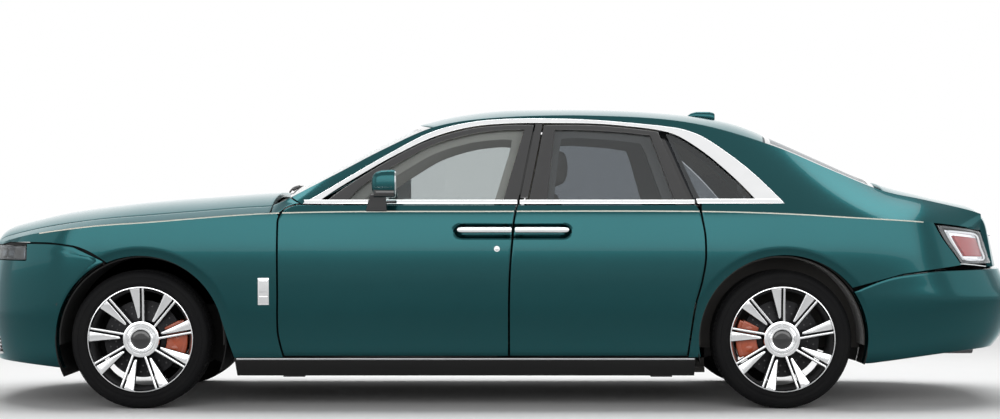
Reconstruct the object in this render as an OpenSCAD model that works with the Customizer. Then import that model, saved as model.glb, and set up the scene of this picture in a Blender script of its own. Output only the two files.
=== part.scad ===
// Full-size four-door luxury saloon, nose towards -X, left side towards -Y,
// standing on z = 0 with the origin under the middle of its length.

/* [Wheels] */
// Distance between the two axles
wheelbase = 3295; // [3285:5:3305]
// Place of the front axle along the car
front_axle_x = -1845; // [-1850:5:-1840]
// Outer radius of the tyres
tyre_radius = 356; // [350:2:360]
// Width of the tyres
tyre_width = 255; // [235:5:260]
// Radius of the rim under the tyre
rim_radius = 270; // [262:2:274]
// Middle plane of each wheel from the centre of the car
wheel_plane = 835; // [825:5:840]
// Number of double spokes
spoke_count = 9; // [7:1:11]
// Distance of the steering pivot inside the wheel's middle plane
pivot_inset = 50; // [45:5:60]

/* [Panels] */
// Gap between neighbouring outer panels
gap = 9; // [8:1:10]
// Thickness of a door from skin to trim
door_wall = 95; // [85:5:100]
// Thickness of the wings
wing_wall = 32; // [26:2:36]
// Thickness of the bonnet
bonnet_wall = 28; // [20:2:32]
// Thickness of the roof with its lining
roof_wall = 22; // [18:2:22]
// Radius of the wheel arches
arch_radius = 430; // [426:2:434]

/* [Grille] */
// Number of upright vanes
vane_count = 20; // [12:2:24]
// Thickness of one vane
vane_wall = 9; // [6:1:12]

/* [Hidden] */

rear_axle_x = front_axle_x + wheelbase;
axle_z = tyre_radius;
plan_power = 3.2;
nose_start = -1900;
tail_start = 1500;
sill_top = 262;
door_low = 272;
belt = 1046;

paint = [0.10, 0.42, 0.43];
chrome = [0.85, 0.86, 0.88];
dark = [0.10, 0.10, 0.11];
tint = [0.25, 0.28, 0.30, 0.6];
leather = [0.55, 0.50, 0.44];
metal = [0.55, 0.56, 0.58];

// Half width of the flank by height, nose and tail ends by height
side_width = [[165, 905], [265, 958], [401, 978], [600, 987], [790, 989], [950, 976],
    [1015, 962], [1060, 944]];
nose_x = [[180, -2690], [240, -2742], [450, -2773], [560, -2772], [700, -2758],
    [803, -2740], [850, -2727], [881, -2712], [926, -2667], [950, -2600]];
tail_x = [[180, 2560], [270, 2640], [359, 2712], [448, 2749], [537, 2773], [581, 2772],
    [631, 2740], [731, 2690], [804, 2667], [892, 2645], [965, 2623], [1000, 2600],
    [1037, 2556]];
// Shoulder crease along the car, and the upper rail from scuttle to tail
shoulder_z = [[-2640, 850], [-2560, 866], [-2450, 890], [-2235, 921], [-2040, 943],
    [-1850, 955], [-1142, 1006], [0, 1015], [1000, 1015], [1450, 1003], [1800, 983],
    [2180, 960], [2450, 930], [2560, 912]];
rail_z = [[-1180, 1044], [-1135, 1058], [-1090, 1080], [-829, 1218], [-600, 1340],
    [-333, 1458], [0, 1505], [500, 1515], [1000, 1478], [1430, 1358], [1720, 1235],
    [2000, 1120], [2200, 1078], [2500, 1010], [2560, 985]];
rail_y = [[-1180, 829], [-1135, 864], [-1090, 886], [-829, 835], [-600, 785],
    [-333, 735], [0, 705], [500, 690], [1000, 690], [1430, 700], [1720, 720],
    [2000, 745], [2200, 735], [2500, 690], [2560, 672]];
// Shut lines by height: front of the front door, between the doors, rear of the rear door
line_a = [[262, -1108], [330, -1126], [401, -1139], [600, -1140], [959, -1140],
    [1000, -1127], [1026, -1103], [1041, -1068], [1052, -1010]];
line_b = [[262, 46], [560, 46], [719, 51], [867, 63], [949, 69], [1015, 79], [1075, 98]];
line_c = [[262, 962], [326, 971], [429, 985], [542, 1004], [645, 1033], [753, 1053],
    [816, 1055], [900, 1051], [971, 1038], [1015, 1030], [1052, 1005], [1080, 980]];

function lerp(a, b, t) = a + (b - a) * t;
function span(p, x, i = 0) = (i >= len(p) - 2 || x <= p[i + 1][0]) ? i : span(p, x, i + 1);
function slope(p, i) = let (a = max(i - 1, 0), b = min(i + 1, len(p) - 1))
    (p[b][1] - p[a][1]) / (p[b][0] - p[a][0]);
// Smooth curve through a few points, read at one place
function curve(p, x) = x <= p[0][0] ? p[0][1] : x >= p[len(p) - 1][0] ? p[len(p) - 1][1] :
    let (i = span(p, x), h = p[i + 1][0] - p[i][0], t = (x - p[i][0]) / h)
    (2 * t ^ 3 - 3 * t ^ 2 + 1) * p[i][1] + (t ^ 3 - 2 * t ^ 2 + t) * h * slope(p, i)
    + (3 * t ^ 2 - 2 * t ^ 3) * p[i + 1][1] + (t ^ 3 - t ^ 2) * h * slope(p, i + 1);
function flat_end(t) = (max(0, 1 - t ^ plan_power)) ^ (1 / plan_power);
function plan(x, z) = x < nose_start ? flat_end((nose_start - x) / (nose_start - curve(nose_x, z)))
    : x > tail_start ? flat_end((x - tail_start) / (curve(tail_x, z) - tail_start)) : 1;
// The arch edges are tucked in a little
function tuck(x, z) = let (r = min(norm([x - front_axle_x, z - axle_z]),
    norm([x - rear_axle_x, z - axle_z]))) r < 482 ? 10 * ((482 - max(r, 425)) / 52) ^ 2 : 0;
function half(x, z) = curve(side_width, z) * plan(x, z) - tuck(x, z);
function shoulder(x) = let (z = curve(shoulder_z, x)) [x, -half(x, z), z];
function rail(x) = [x, -curve(rail_y, x), curve(rail_z, x)];
// Half width anywhere on the side, below and above the shoulder
function flank(x, z) = let (s = shoulder(x)) z <= s[2] ? half(x, z) :
    let (r = rail(x), t = min(1, max(0, (z - s[2]) / max(1, r[2] - s[2]))))
    -lerp(s[1], r[1], t) + 48 * t * (1 - t);
function on_flank(q, d) = [q[0], -(flank(q[0], q[1]) - d), q[1]];
// Rows of points between boundary curves drawn in side view
function skin(curves, steps, d) = [for (k = [0:len(steps) - 1])
    for (j = [(k == 0 ? 0 : 1):steps[k]])
        [for (i = [0:len(curves[0]) - 1])
            on_flank(lerp(curves[k][i], curves[k + 1][i], j / steps[k]), d)]];
// Points at even steps along a line
function line(a, b, n) = [for (i = [0:n]) lerp(a, b, i / n)];

// Closed wall between an outer and an inner grid of points
module wall(outer, inner) {
    r = len(outer);
    c = len(outer[0]);
    n = r * c;
    points = concat([for (row = outer) for (p = row) p], [for (row = inner) for (p = row) p]);
    quads = concat(
        [for (i = [0:r - 2]) for (j = [0:c - 2])
            [i * c + j, (i + 1) * c + j, (i + 1) * c + j + 1, i * c + j + 1]],
        [for (i = [0:r - 2]) for (j = [0:c - 2])
            [n + i * c + j, n + i * c + j + 1, n + (i + 1) * c + j + 1, n + (i + 1) * c + j]],
        [for (j = [0:c - 2]) [j, j + 1, n + j + 1, n + j]],
        [for (j = [0:c - 2]) let (k = (r - 1) * c + j) [k + 1, k, n + k, n + k + 1]],
        [for (i = [0:r - 2]) [(i + 1) * c, i * c, n + i * c, n + (i + 1) * c]],
        [for (i = [0:r - 2]) let (k = i * c + c - 1) [k, k + c, n + k + c, n + k]]);
    polyhedron(points, [for (q = quads) for (t = [0, 1]) [q[0], q[t + 1], q[t + 2]]]);
}
module panel(curves, steps, d0, d1) {
    wall(skin(curves, steps, d0), skin(curves, steps, d1));
}
// Solid swept through a row of closed sections with the same number of corners
module sweep(sections) {
    k = len(sections[0]);
    m = len(sections);
    points = [for (s = sections) for (p = s) p];
    sides = [for (i = [0:m - 2]) for (j = [0:k - 1]) let (a = i * k + j, b = i * k + (j + 1) % k)
        for (t = [[a, a + k, b + k], [a, b + k, b]]) t];
    ends = concat([for (j = [1:k - 2]) [0, j, j + 1]],
        [for (j = [1:k - 2]) [(m - 1) * k, (m - 1) * k + j + 1, (m - 1) * k + j]]);
    polyhedron(points, concat(sides, ends));
}
// Crowned panel: centre line, edge line, depth measured square to the centre line
function crown(c, e, n, kx, kz, d) = [for (i = [0:len(c) - 1])
    let (a = c[max(i - 1, 0)], b = c[min(i + 1, len(c) - 1)], g = [b[0] - a[0], b[1] - a[1]] / norm(b - a))
    [for (j = [0:n]) let (v = 1 - 2 * j / n, w = abs(v))
        [lerp(c[i][0], e[i][0], w ^ kx) + g[1] * d, v * e[i][1],
         lerp(c[i][1], e[i][2], w ^ kz) - g[0] * d]]];
module crowned(c, e, n, kx, kz, depth, sink = 0) {
    wall(crown(c, e, n, kx, kz, sink), crown(c, e, n, kx, kz, sink + depth));
}
module both_sides() {
    children();
    mirror([0, 1, 0]) children();
}

// Ring of the lower body seen from above: place at a fraction of the way round an end
function arch_end(xc, z) = sqrt(max(0, (arch_radius + 8) ^ 2 - (z - axle_z) ^ 2));
function ring_angle(x, x0, xe) = acos(min(1, max(0, abs(x - x0) / abs(xe - x0))) ^ (plan_power / 2));
function ring(angle, z, d, end) =
    let (x0 = end < 0 ? nose_start : tail_start, xe = end < 0 ? curve(nose_x, z) : curve(tail_x, z),
         w = curve(side_width, z) - d, a = abs(xe - x0) - d)
    [x0 + end * a * abs(cos(angle)) ^ (2 / plan_power),
     sign(angle) * w * abs(sin(angle)) ^ (2 / plan_power), z];

// Underbody

module floor_pan() color(dark) {
    both_sides() {
        panel([line([-1352, 168], [1000, 168], 8), line([-1362, sill_top], [1004, sill_top], 8)],
            [3], 0, 170);
    }
    difference() {
        translate([-1352, -800, 172]) cube([2352, 1600, 26]);
        translate([-1360, -112, 160]) cube([2240, 224, 60]);
    }
    difference() {
        translate([-1352, -142, 172]) cube([2232, 284, 190]);
        translate([-1360, -112, 165]) cube([2220, 224, 170]);
    }
    both_sides() for (x = [-1120, 780]) translate([x, -860, 158]) cube([110, 70, 20]);
}

// Half-round liner inside a wheel arch
module liner(x, y0, y1) intersection() {
    translate([x, y0, axle_z]) rotate([-90, 0, 0]) difference() {
        cylinder(r = 427, h = y1 - y0, $fn = 72);
        translate([0, 0, -5]) cylinder(r = 420, h = y1 - y0 + 10, $fn = 72);
    }
    translate([x - 500, -1000, axle_z - 30]) cube([1000, 2000, 600]);
}
module front_bulkhead() color(dark) {
    difference() {
        translate([-1352, -740, 198]) cube([40, 1480, 800]);
        translate([-1360, -143, 190]) cube([60, 286, 173]);
    }
    both_sides() {
        translate([-1352, -838, sill_top]) cube([262, 130, 712]);
        translate([-2620, -500, 520]) cube([1290, 80, 100]);
        translate([-2270, -505, 520]) cube([935, 12, 380]);
        liner(front_axle_x, -900, -494);
    }
    translate([-2640, -600, 520]) cube([40, 1200, 100]);
    crowned([[-1172, 1084], [-1120, 1090], [-1085, 1094]],
        [[-1172, 800, 1018], [-1120, 800, 1022], [-1085, 800, 1024]], 8, 2, 2.4, 22);
    translate([-1330, -760, 960]) cube([215, 1520, 50]);
}

module rear_tub() color(dark) {
    translate([1000, -725, 172]) cube([70, 1450, 26]);
    translate([1030, -690, 172]) cube([40, 1380, 156]);
    translate([1030, -690, 300]) cube([350, 1380, 28]);
    translate([1360, -690, 300]) cube([20, 1380, 112]);
    translate([0, 0, 380]) linear_extrude(32)
        polygon([[1360, -690], [2200, -690], [2540, -520], [2540, 520], [2200, 690], [1360, 690]]);
    difference() {
        translate([1470, -690, 380]) cube([36, 1380, 640]);
        translate([1460, -240, 640]) cube([60, 480, 220]);
    }
    translate([2520, -520, 380]) cube([20, 1040, 300]);
    both_sides() {
        difference() {
            translate([1030, -692, 300]) cube([880, 12, 600]);
            translate([rear_axle_x - 50, -700, 290]) cube([100, 30, 92]);
        }
        liner(rear_axle_x, -915, -681);
    }
}

// Cabin frame: the rail over the doors is one swept section from scuttle to rear pillar

surround_out = [[-1017, 1052], [-917, 1111], [-814, 1174], [-551, 1329], [-355, 1430], [-154, 1481],
    [46, 1499], [314, 1500], [524, 1491], [691, 1477], [858, 1460], [958, 1444], [1056, 1407],
    [1185, 1319], [1311, 1215], [1459, 1062]];
surround_in = [[-935, 1062], [-870, 1109], [-790, 1161], [-550, 1303], [-354, 1399], [-154, 1455],
    [46, 1474], [314, 1476], [523, 1472], [691, 1457], [823, 1440], [922, 1413], [1040, 1337],
    [1140, 1254], [1230, 1168], [1310, 1080]];
rail_x = [-1075, -985, -890, -640, -420, -190, 46, 314, 540, 720, 900, 1030, 1170, 1330, 1480, 1640];
function flange(x) = x < -500 || x > 1500 ? 9 : 24;

module side_rail() {
    sweep([for (i = [0:len(rail_x) - 1])
        let (a = surround_in[i], b = surround_out[i] + [0, 0.8], r = rail(rail_x[i]), f = flange(rail_x[i]))
        [on_flank(b, 12), on_flank(a, 12), on_flank(a, 64), r + [0, 54, -f], r + [0, 16, -f],
         r + [0, 16, 0], r, on_flank(b, 0)]]);
}
module centre_post() {
    rows = [[262, 20, 112], [600, 20, 112], [950, 40, 112], [1052, 62, 108], [1100, 76, 52],
        [1250, 118, 52], [1400, 158, 52], [1480, 178, 50]];
    sweep([for (p = rows) let (z = p[0])
        [on_flank([p[1] + 46, z], p[2]), on_flank([p[1] + 46, z], p[2] + 52),
         on_flank([p[1] - 38, z], p[2] + 52), on_flank([p[1] - 38, z], p[2])]]);
}
module rear_post() {
    rows = [[1053, 1008, 42], [1180, 952, 42], [1320, 895, 42], [1436, 850, 44]];
    sweep([for (p = rows) [for (c = [[34, 0], [34, 40], [-34, 40], [-34, 0]])
        on_flank([p[1] + c[0], p[0]], p[2] + c[1])]]);
}
module cabin_frame() color(paint) both_sides() {
    side_rail();
    centre_post();
    rear_post();
}

module window_surround() color(chrome) both_sides() {
    panel([surround_in, surround_out], [2], 0, 8);
    panel([line([1014, 1054], [1330, 1054], 4), line([1006, 1078], [1316, 1078], 4)], [1], 0, 8);
}

// Rear wing with the rear pillar

// Upper edge of the rear wing: under the pane, up the pillar, then along the deck
function pillar_top(x) = x < 1467 ? [x, -flank(x, 1051), 1051]
    : x < 1646 ? let (t = (x - 1467) / 179, a = on_flank([1467, 1055], 0)) lerp(a, rail(1646), t)
    : rail(x);

module quarter() color(paint) {
    g = gap / 2;
    outer = concat(
        [for (z = [264, 360, 460, 560, 660, 760, 860, 940]) [curve(line_c, z) + g, z]],
        [for (x = [1036, 1120, 1240, 1380, 1520, 1660, 1800, 1950, 2100, 2236]) [x, curve(shoulder_z, x)]],
        [[2262, 905], [2292, 860], [2348, 790], [2388, 736]]);
    n = len(outer) - 1;
    arch = [for (i = [0:n]) let (a = lerp(192, 37, i / n), r = arch_radius + 14 * (i / n) ^ 3)
        [rear_axle_x + r * cos(a), max(264, axle_z + r * sin(a))]];
    mid = [for (i = [0:n]) lerp(arch[i], outer[i], 0.45) + [0, 20 * max(0, (i - n + 6) / 6) ^ 2]];
    panel([arch, mid, outer], [3, 3], 0, wing_wall);
    top_x = [1036, 1120, 1240, 1380, 1467, 1560, 1646, 1760, 1900, 2000, 2120, 2236, 2340, 2430, 2490, 2524];
    rows = [for (j = [0:4]) [for (x = top_x) let (s = shoulder(x), r = pillar_top(x), t = j / 4)
        lerp(s, r, t) - [0, 40 * t * (1 - t) * min(1, max(0, (x - 1300) / 400)), 0]]];
    under = [for (j = [0:4]) [for (i = [0:len(top_x) - 1])
        let (x = top_x[i], t = j / 4, k = min(1, max(0, (x - 1400) / 67)))
        rows[j][i] + [0, wing_wall + 6 - 33 * max(t, min(1, max(0, (x - 2340) / 90))) * k, -6 - 22 * t * k]]];
    wall(rows, under);
}

module quarter_left() quarter();
module quarter_right() mirror([0, 1, 0]) quarter();

// Front wing over the wheel

bonnet_c = [[-2727, 850], [-2718, 876], [-2701, 900], [-2667, 926], [-2612, 945], [-2556, 959],
    [-2334, 1009], [-2001, 1054], [-1778, 1076], [-1556, 1092], [-1334, 1109], [-1182, 1117]];
bonnet_ex = [-2675, -2664, -2646, -2612, -2555, -2500, -2290, -1985, -1770, -1556, -1334, -1182];
function bonnet_edge(i, v) = let (x = bonnet_ex[i] + 35 * max(0, 1 - i / 6), z = curve(shoulder_z, x),
    y = half(x, z), c = bonnet_c[i]) [lerp(bonnet_ex[i], x, max(0, (v - 0.865) / 0.135)), v * y,
    c[1] - (c[1] - z) * v ^ 2.6];

// Side of the bonnet, one gap inside the wing's crest
function bonnet_side(i) = let (x = bonnet_ex[i] + 35 * max(0, 1 - i / 6))
    0.868 - gap / half(x, curve(shoulder_z, x));

// Lower edge of the wing's tip over the corner of the door
function tip_low(x) = curve([[-1182, 1003], [-1145, 1006], [-1127, 1013], [-1103, 1034], [-1068, 1049],
    [-1030, 1056]], x);

module fender() color(paint) {
    g = gap / 2;
    outer = concat([[-2560, 853]],
        [for (x = [-2540, -2450, -2340, -2220, -2080, -1940, -1800, -1650, -1480, -1310, -1147])
            [x, curve(shoulder_z, x)]],
        [for (z = [900, 760, 620, 480, 360, 264]) [curve(line_a, z) - g, z]]);
    n = len(outer) - 1;
    arch = [for (i = [0:n]) i < n - 1
        ? let (a = lerp(113, 14, i / (n - 2))) [front_axle_x + arch_radius * cos(a), axle_z + arch_radius * sin(a)]
        : i == n - 1 ? [-1395, 360] : [-1362, 264]];
    mid = [for (i = [0:n]) lerp(arch[i], outer[i], 0.42) + [0, 42 * max(0, 1 - i / 4) ^ 2]];
    panel([arch, mid, outer], [3, 3], 0, wing_wall);
    rows = [for (j = [0:3]) [for (i = [0:len(bonnet_c) - 1])
        let (p = bonnet_edge(i, 1 - 0.132 * j / 3)) [p[0], -p[1], p[2]]]];
    under = [for (row = rows) [for (i = [0:len(row) - 1])
        row[i] + [0, 0, i < 6 ? -12 : -28]]];
    wall(rows, under);
    low_x = [-1173, -1155, -1125, -1095, -1064, -1032];
    top_x = [-1173, -1161, -1143, -1124, -1104, -1086];
    tip = [for (j = [0:2]) [for (i = [0:5])
        lerp(on_flank([low_x[i], tip_low(low_x[i])], 0), rail(top_x[i]), j / 2)]];
    wall(tip, [for (row = tip) [for (p = row) p + [0, wing_wall - 4, -1]]]);
}
module fender_left() fender();
module fender_right() mirror([0, 1, 0]) fender();

module bonnet() color(paint)
    crowned(bonnet_c, [for (i = [0:len(bonnet_c) - 1]) bonnet_edge(i, bonnet_side(i))], 14, 3, 2.6, bonnet_wall);

// Roof, screens and quarter panes

roof_c = [[-440, 1484], [-333, 1513], [-222, 1537], [0, 1564], [333, 1571], [667, 1565], [840, 1555],
    [1000, 1541], [1115, 1526], [1223, 1507], [1335, 1474], [1418, 1438]];
roof_x = [-345, -262, -165, 35, 345, 667, 830, 985, 1090, 1190, 1295, 1380];
screen_c = [[-1135, 1120], [-1000, 1192], [-861, 1269], [-722, 1345], [-583, 1415], [-452, 1478]];
screen_x = [-1078, -932, -785, -640, -497, -358];
back_c = [[1430, 1432], [1545, 1381], [1660, 1329], [1775, 1277], [1888, 1225], [1995, 1181]];
back_x = [1392, 1505, 1620, 1735, 1850, 1958];
function rail_edge(x, inset, drop = 0) = let (r = rail(x)) [r[0], -r[1] - inset, r[2] - drop];

module roof_panel() color(paint)
    crowned(roof_c, [for (x = roof_x) rail_edge(x, 21, 0.5)], 12, 2.4, 2.3, roof_wall);

module fixed_glass() color(tint) {
    crowned(screen_c, [for (x = screen_x) rail_edge(x, 22, 0)], 12, 2, 2.2, 6);
    crowned(back_c, [for (x = back_x) rail_edge(x, 22, 0)], 12, 2, 2.2, 5);
    both_sides()
        panel([line([998, 1081], [1302, 1081], 5), [[866, 1420], [921, 1408], [1037, 1332], [1137, 1249],
            [1226, 1163], [1300, 1087]]], [4], 14, 19);
}

// Doors

module door_shell(e0, e1) {
    function grid(d, b) = [for (j = [0:9]) [for (i = [0:12])
        let (u = i / 12, z1 = curve(shoulder_z, lerp(e0(1012), e1(1012), u)),
             z = j <= 7 ? lerp(door_low, z1, j / 7) : lerp(z1, belt, (j - 7) / 2),
             x = lerp(e0(z) + b, e1(z) - b, u)) on_flank([x, z], d)]];
    wall(grid(0, 0), grid(door_wall, 22));
}
front_frame_out = [[-930, 1036], [-790, 1144], [-550, 1293], [-354, 1389], [-154, 1445], [46, 1465],
    [178, 1465], [151, 1340], [119, 1190], [86, 1036]];
front_frame_in = [[-815, 1036], [-696, 1156], [-518, 1268], [-354, 1357], [-156, 1415], [0, 1437],
    [127, 1441], [97, 1340], [52, 1190], [7, 1036]];
rear_frame_out = [[140, 1036], [172, 1180], [201, 1320], [229, 1463], [330, 1466], [523, 1462],
    [691, 1447], [826, 1430], [870, 1320], [927, 1180], [986, 1036]];
rear_frame_in = [[236, 1036], [253.5, 1180], [270, 1320], [285, 1440], [400, 1440], [523, 1434],
    [660, 1424], [783, 1411], [813, 1320], [860, 1180], [908, 1036]];

module door_front() color(paint) {
    difference() {
        door_shell(function(z) curve(line_a, z) + gap / 2, function(z) curve(line_b, z) - gap / 2);
        handle_pocket(-232, 62);
    }
    panel([front_frame_in, front_frame_out], [1], 3, 36);
}
module door_rear() color(paint) {
    difference() {
        door_shell(function(z) curve(line_b, z) + gap / 2, function(z) curve(line_c, z) - gap / 2);
        handle_pocket(76, 366);
    }
    panel([rear_frame_in, rear_frame_out], [1], 3, 36);
}
module handle_pocket(x0, x1) translate([x0 + 8, -1010, 876]) cube([x1 - x0 - 16, 50, 66]);
module door_front_left() door_front();
module door_front_right() mirror([0, 1, 0]) door_front();
module door_rear_left() door_rear();
module door_rear_right() mirror([0, 1, 0]) door_rear();

module glass_front() color(tint)
    panel([line([-796, 1047], [8, 1047], 6), [[-790, 1058], [-694, 1154], [-517, 1266], [-353, 1355],
        [-156, 1413], [0, 1435], [124, 1439]]], [4], 14, 19);
module glass_rear() color(tint)
    panel([line([239, 1047], [901, 1047], 4), [[287, 1438], [400, 1438], [523, 1432], [660, 1422],
        [780, 1409]]], [4], 14, 19);
module glass_front_left() glass_front();
module glass_front_right() mirror([0, 1, 0]) glass_front();
module glass_rear_left() glass_rear();
module glass_rear_right() mirror([0, 1, 0]) glass_rear();

module mirror_housing() color(paint) {
    hull() {
        translate([-646, -1030, 1160]) sphere(r = 24, $fn = 24);
        for (y = [-995, -1050], z = [1108, 1204]) translate([-556, y, z]) rotate([0, 90, 0])
            cylinder(r = 22, h = 22, $fn = 24);
    }
    translate([-640, -1010, 1022]) cube([50, 26, 110]);
    panel([line([-676, 1018], [-580, 1018], 3), line([-672, 1043], [-584, 1043], 3)], [2], -42, -0.4);
}
module mirror_left() mirror_housing();
module mirror_right() mirror([0, 1, 0]) mirror_housing();

module handle_bar(x0, x1) color(chrome) {
    translate([x0, -988, 905]) cube([x1 - x0, 12, 28]);
    for (x = [x0 + 20, x1 - 44]) translate([x, -978, 910]) cube([24, 18, 18]);
}
module handle_front_left() handle_bar(-220, 50);
module handle_front_right() mirror([0, 1, 0]) handle_bar(-220, 50);
module handle_rear_left() handle_bar(88, 354);
module handle_rear_right() mirror([0, 1, 0]) handle_bar(88, 354);

// Boot lid: deck and rear face in one

lid_c = [[2024, 1171], [2112, 1142], [2223, 1115], [2334, 1087], [2445, 1065], [2530, 1045], [2575, 1022],
    [2603, 996], [2623, 962], [2645, 892], [2667, 804], [2687, 722]];
lid_e = [[2008, 728, 1112], [2095, 726, 1092], [2205, 720, 1069], [2310, 708, 1046], [2412, 693, 1022],
    [2487, 676, 1001], [2520, 666, 984], [2540, 656, 964], [2553, 646, 938], [2568, 634, 880],
    [2585, 622, 800], [2601, 610, 722]];
module boot_lid() color(paint) crowned(lid_c, lid_e, 12, 2.6, 2.6, 34);

// Bumpers, grille and lamps

front_top = [[-2773, 836], [-2560, 836], [-2262, 823], [-2165, 775], [-2038, 732], [-2014, 722]];
front_low = [[-2773, 236], [-2500, 226], [-2250, 206]];
rear_top = [[1806, 601], [1864, 622], [2051, 674], [2260, 700], [2400, 708], [2773, 710]];
rear_low = [[1905, 232], [2330, 286], [2600, 300], [2773, 302]];

function bumper(d, end, top, low) = [for (j = [0:8]) [for (i = [0:28])
    let (s = (i - 14) / 14, xc = end < 0 ? front_axle_x : rear_axle_x, x0 = end < 0 ? nose_start : tail_start,
         at = function(z) ring(sign(s) * (abs(s) * ring_angle(xc + end * arch_end(xc, z), x0,
            end < 0 ? curve(nose_x, z) : curve(tail_x, z)) + 1e-6), z, d, end),
         zt = curve(top, at(end < 0 ? 741 : 620)[0]), zb = curve(low, at(240)[0]),
         p = at(lerp(zb, zt, j / 8))) [p[0], end * p[1], p[2]]]];

module front_bumper() color(paint) difference() {
    wall(bumper(0, -1, front_top, front_low), bumper(36, -1, front_top, front_low));
    translate([-2850, -470, 398]) cube([400, 940, 600]);
    both_sides() translate([-2850, -880, 757]) cube([400, 385, 200]);
    // Lower intake with two bars left standing
    for (z = [262, 298, 334]) translate([-2850, -640, z]) cube([400, 1280, 26]);
}
module rear_bumper() color(paint)
    wall(bumper(0, 1, rear_top, rear_low), bumper(36, 1, rear_top, rear_low));

module grille() color(chrome) translate([-2756, 0, 404]) rotate([0, 4, 0]) {
    difference() {
        translate([0, -462, 0]) cube([70, 924, 432]);
        translate([-5, -432, 28]) cube([80, 864, 372]);
    }
    for (i = [0:vane_count - 1])
        translate([8, -432 + (i + 0.5) * 864 / vane_count - vane_wall / 2, 20]) cube([50, vane_wall, 390]);
    both_sides() translate([60, -330, 150]) rotate([0, -4, 0]) cube([40, 24, 40]);
}

// Two round light units are sunk in each head lamp
module headlamps() color([0.7, 0.75, 0.8]) both_sides() {
    difference() {
        wall(lamp_grid(-1, [762, 788, 812, 834], 0), lamp_grid(-1, [762, 788, 812, 834], 60));
        for (p = [[-2662, -604], [-2618, -696]])
            translate([p[0] - 90, p[1], 796]) rotate([0, 90, 0]) cylinder(r = 27, h = 90, $fn = 32);
    }
    for (p = [[-2662, -604], [-2618, -696]])
        translate([p[0] - 8, p[1], 796]) rotate([0, 90, 0]) cylinder(r = 21, h = 12, $fn = 32);
}
module tail_lamps() color([0.6, 0.05, 0.05]) both_sides()
    wall(lamp_grid(1, [742, 800, 850, 900, 940], 0), lamp_grid(1, [742, 800, 850, 900, 940], 50));
lamp_front = [[742, 2392], [790, 2358], [867, 2296], [940, 2256]];
function lamp_grid(end, zs, d) = [for (h = zs) [for (i = [0:8])
    let (x0 = end < 0 ? nose_start : tail_start,
         z = end < 0 ? h : lerp(742, curve(shoulder_z, lerp(2256, 2548, i / 8)) - 11, (h - 742) / 198),
         xe = end < 0 ? curve(nose_x, z) : curve(tail_x, z), w = curve(side_width, z),
         y_in = end < 0 ? 540 : 642 + (z - 742) * 0.1,
         a_in = asin((y_in / (w - d)) ^ (plan_power / 2)),
         a_out = ring_angle(end < 0 ? -2500 : curve(lamp_front, z), x0, xe - end * d),
         a = end < 0 ? lerp(a_in, a_out, i / 8) : lerp(a_out, a_in, i / 8), p = ring(-a, z, d, end)) p]];

// Cabin

module seat() {
    hull() for (x = [-330, 200], y = [-215, 215], z = [330, 470])
        translate([x + (z > 400 && x > 0 ? 20 : 0), y, z]) sphere(r = 38, $fn = 12);
    hull() for (x = [150, 215], y = [-205, 205]) {
        translate([x, y, 500]) sphere(r = 40, $fn = 12);
        translate([x + 95, y * 0.86, 1105]) sphere(r = 34, $fn = 12);
    }
    hull() for (y = [-95, 95], z = [1190, 1300]) translate([300 + (z - 1190) * 0.15, y, z])
        sphere(r = 48, $fn = 12);
    translate([285, -60, 1080]) cube([16, 16, 120]);
    translate([285, 44, 1080]) cube([16, 16, 120]);
    translate([-300, -180, 199]) cube([440, 360, 110]);
}
module rear_seat() {
    hull() for (x = [930, 1308], y = [-620, 620], z = [372, 490]) translate([x, y, z]) sphere(r = 40, $fn = 12);
    hull() for (y = [-610, 610]) {
        translate([1330, y, 530]) sphere(r = 52, $fn = 12);
        translate([1410, y * 0.97, 1060]) sphere(r = 38, $fn = 12);
    }
    for (s = [-1, 1]) {
        hull() for (y = [-100, 100], z = [1130, 1220]) translate([1402, s * 385 + y, z]) sphere(r = 38, $fn = 12);
        translate([1396, s * 385 - 8, 1060]) cube([14, 16, 80]);
    }
    translate([1000, -600, 330]) cube([80, 1200, 60]);
}
module seats() color(leather) {
    for (s = [-1, 1]) translate([0, s * 400, 0]) seat();
    rear_seat();
}
module dashboard() color([0.2, 0.19, 0.18]) {
    translate([0, 700, 0]) rotate([90, 0, 0]) linear_extrude(1400)
        polygon([[-1088, 1000], [-1070, 1060], [-930, 1066], [-800, 1030], [-770, 960], [-800, 840],
            [-900, 760], [-1088, 740]]);
    translate([-960, -130, 362]) cube([1000, 260, 200]);
    translate([-960, -130, 540]) cube([160, 260, 260]);
}
module steering_wheel() color(dark) difference() {
    translate([-690, -400, 905]) rotate([0, 66, 0]) {
        rotate_extrude($fn = 48) translate([175, 0]) circle(r = 15, $fn = 24);
        translate([0, 0, -20]) cylinder(r = 72, h = 34, $fn = 40);
        for (a = [0, 90, 180]) rotate([0, 0, a - 90]) translate([40, -14, -9]) cube([128, 28, 14]);
        translate([0, 0, -150]) cylinder(r = 34, h = 135, $fn = 32);
    }
    dashboard();
}
module engine_block() color(metal) {
    translate([-2050, -300, 300]) cube([660, 600, 400]);
    both_sides() translate([-2010, -330, 640]) rotate([-14, 0, 0]) cube([580, 210, 230]);
    translate([-1990, -120, 690]) cube([540, 240, 260]);
}
module antenna_fin() color(paint) translate([0, 16, 0]) rotate([90, 0, 0]) linear_extrude(32)
    polygon([[1040, 1539], [1075, 1566], [1175, 1566], [1196, 1516], [1120, 1528.5]]);
module exhaust() color(metal) {
    both_sides() {
        translate([1960, -470, 300]) rotate([0, 90, 0]) cylinder(r = 45, h = 560, $fn = 32);
        translate([1960, -560, 262]) cube([360, 190, 100]);
    }
}

// Axles, steering and wheels

pivot_y = wheel_plane - pivot_inset;
disc_y = -58;

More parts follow.
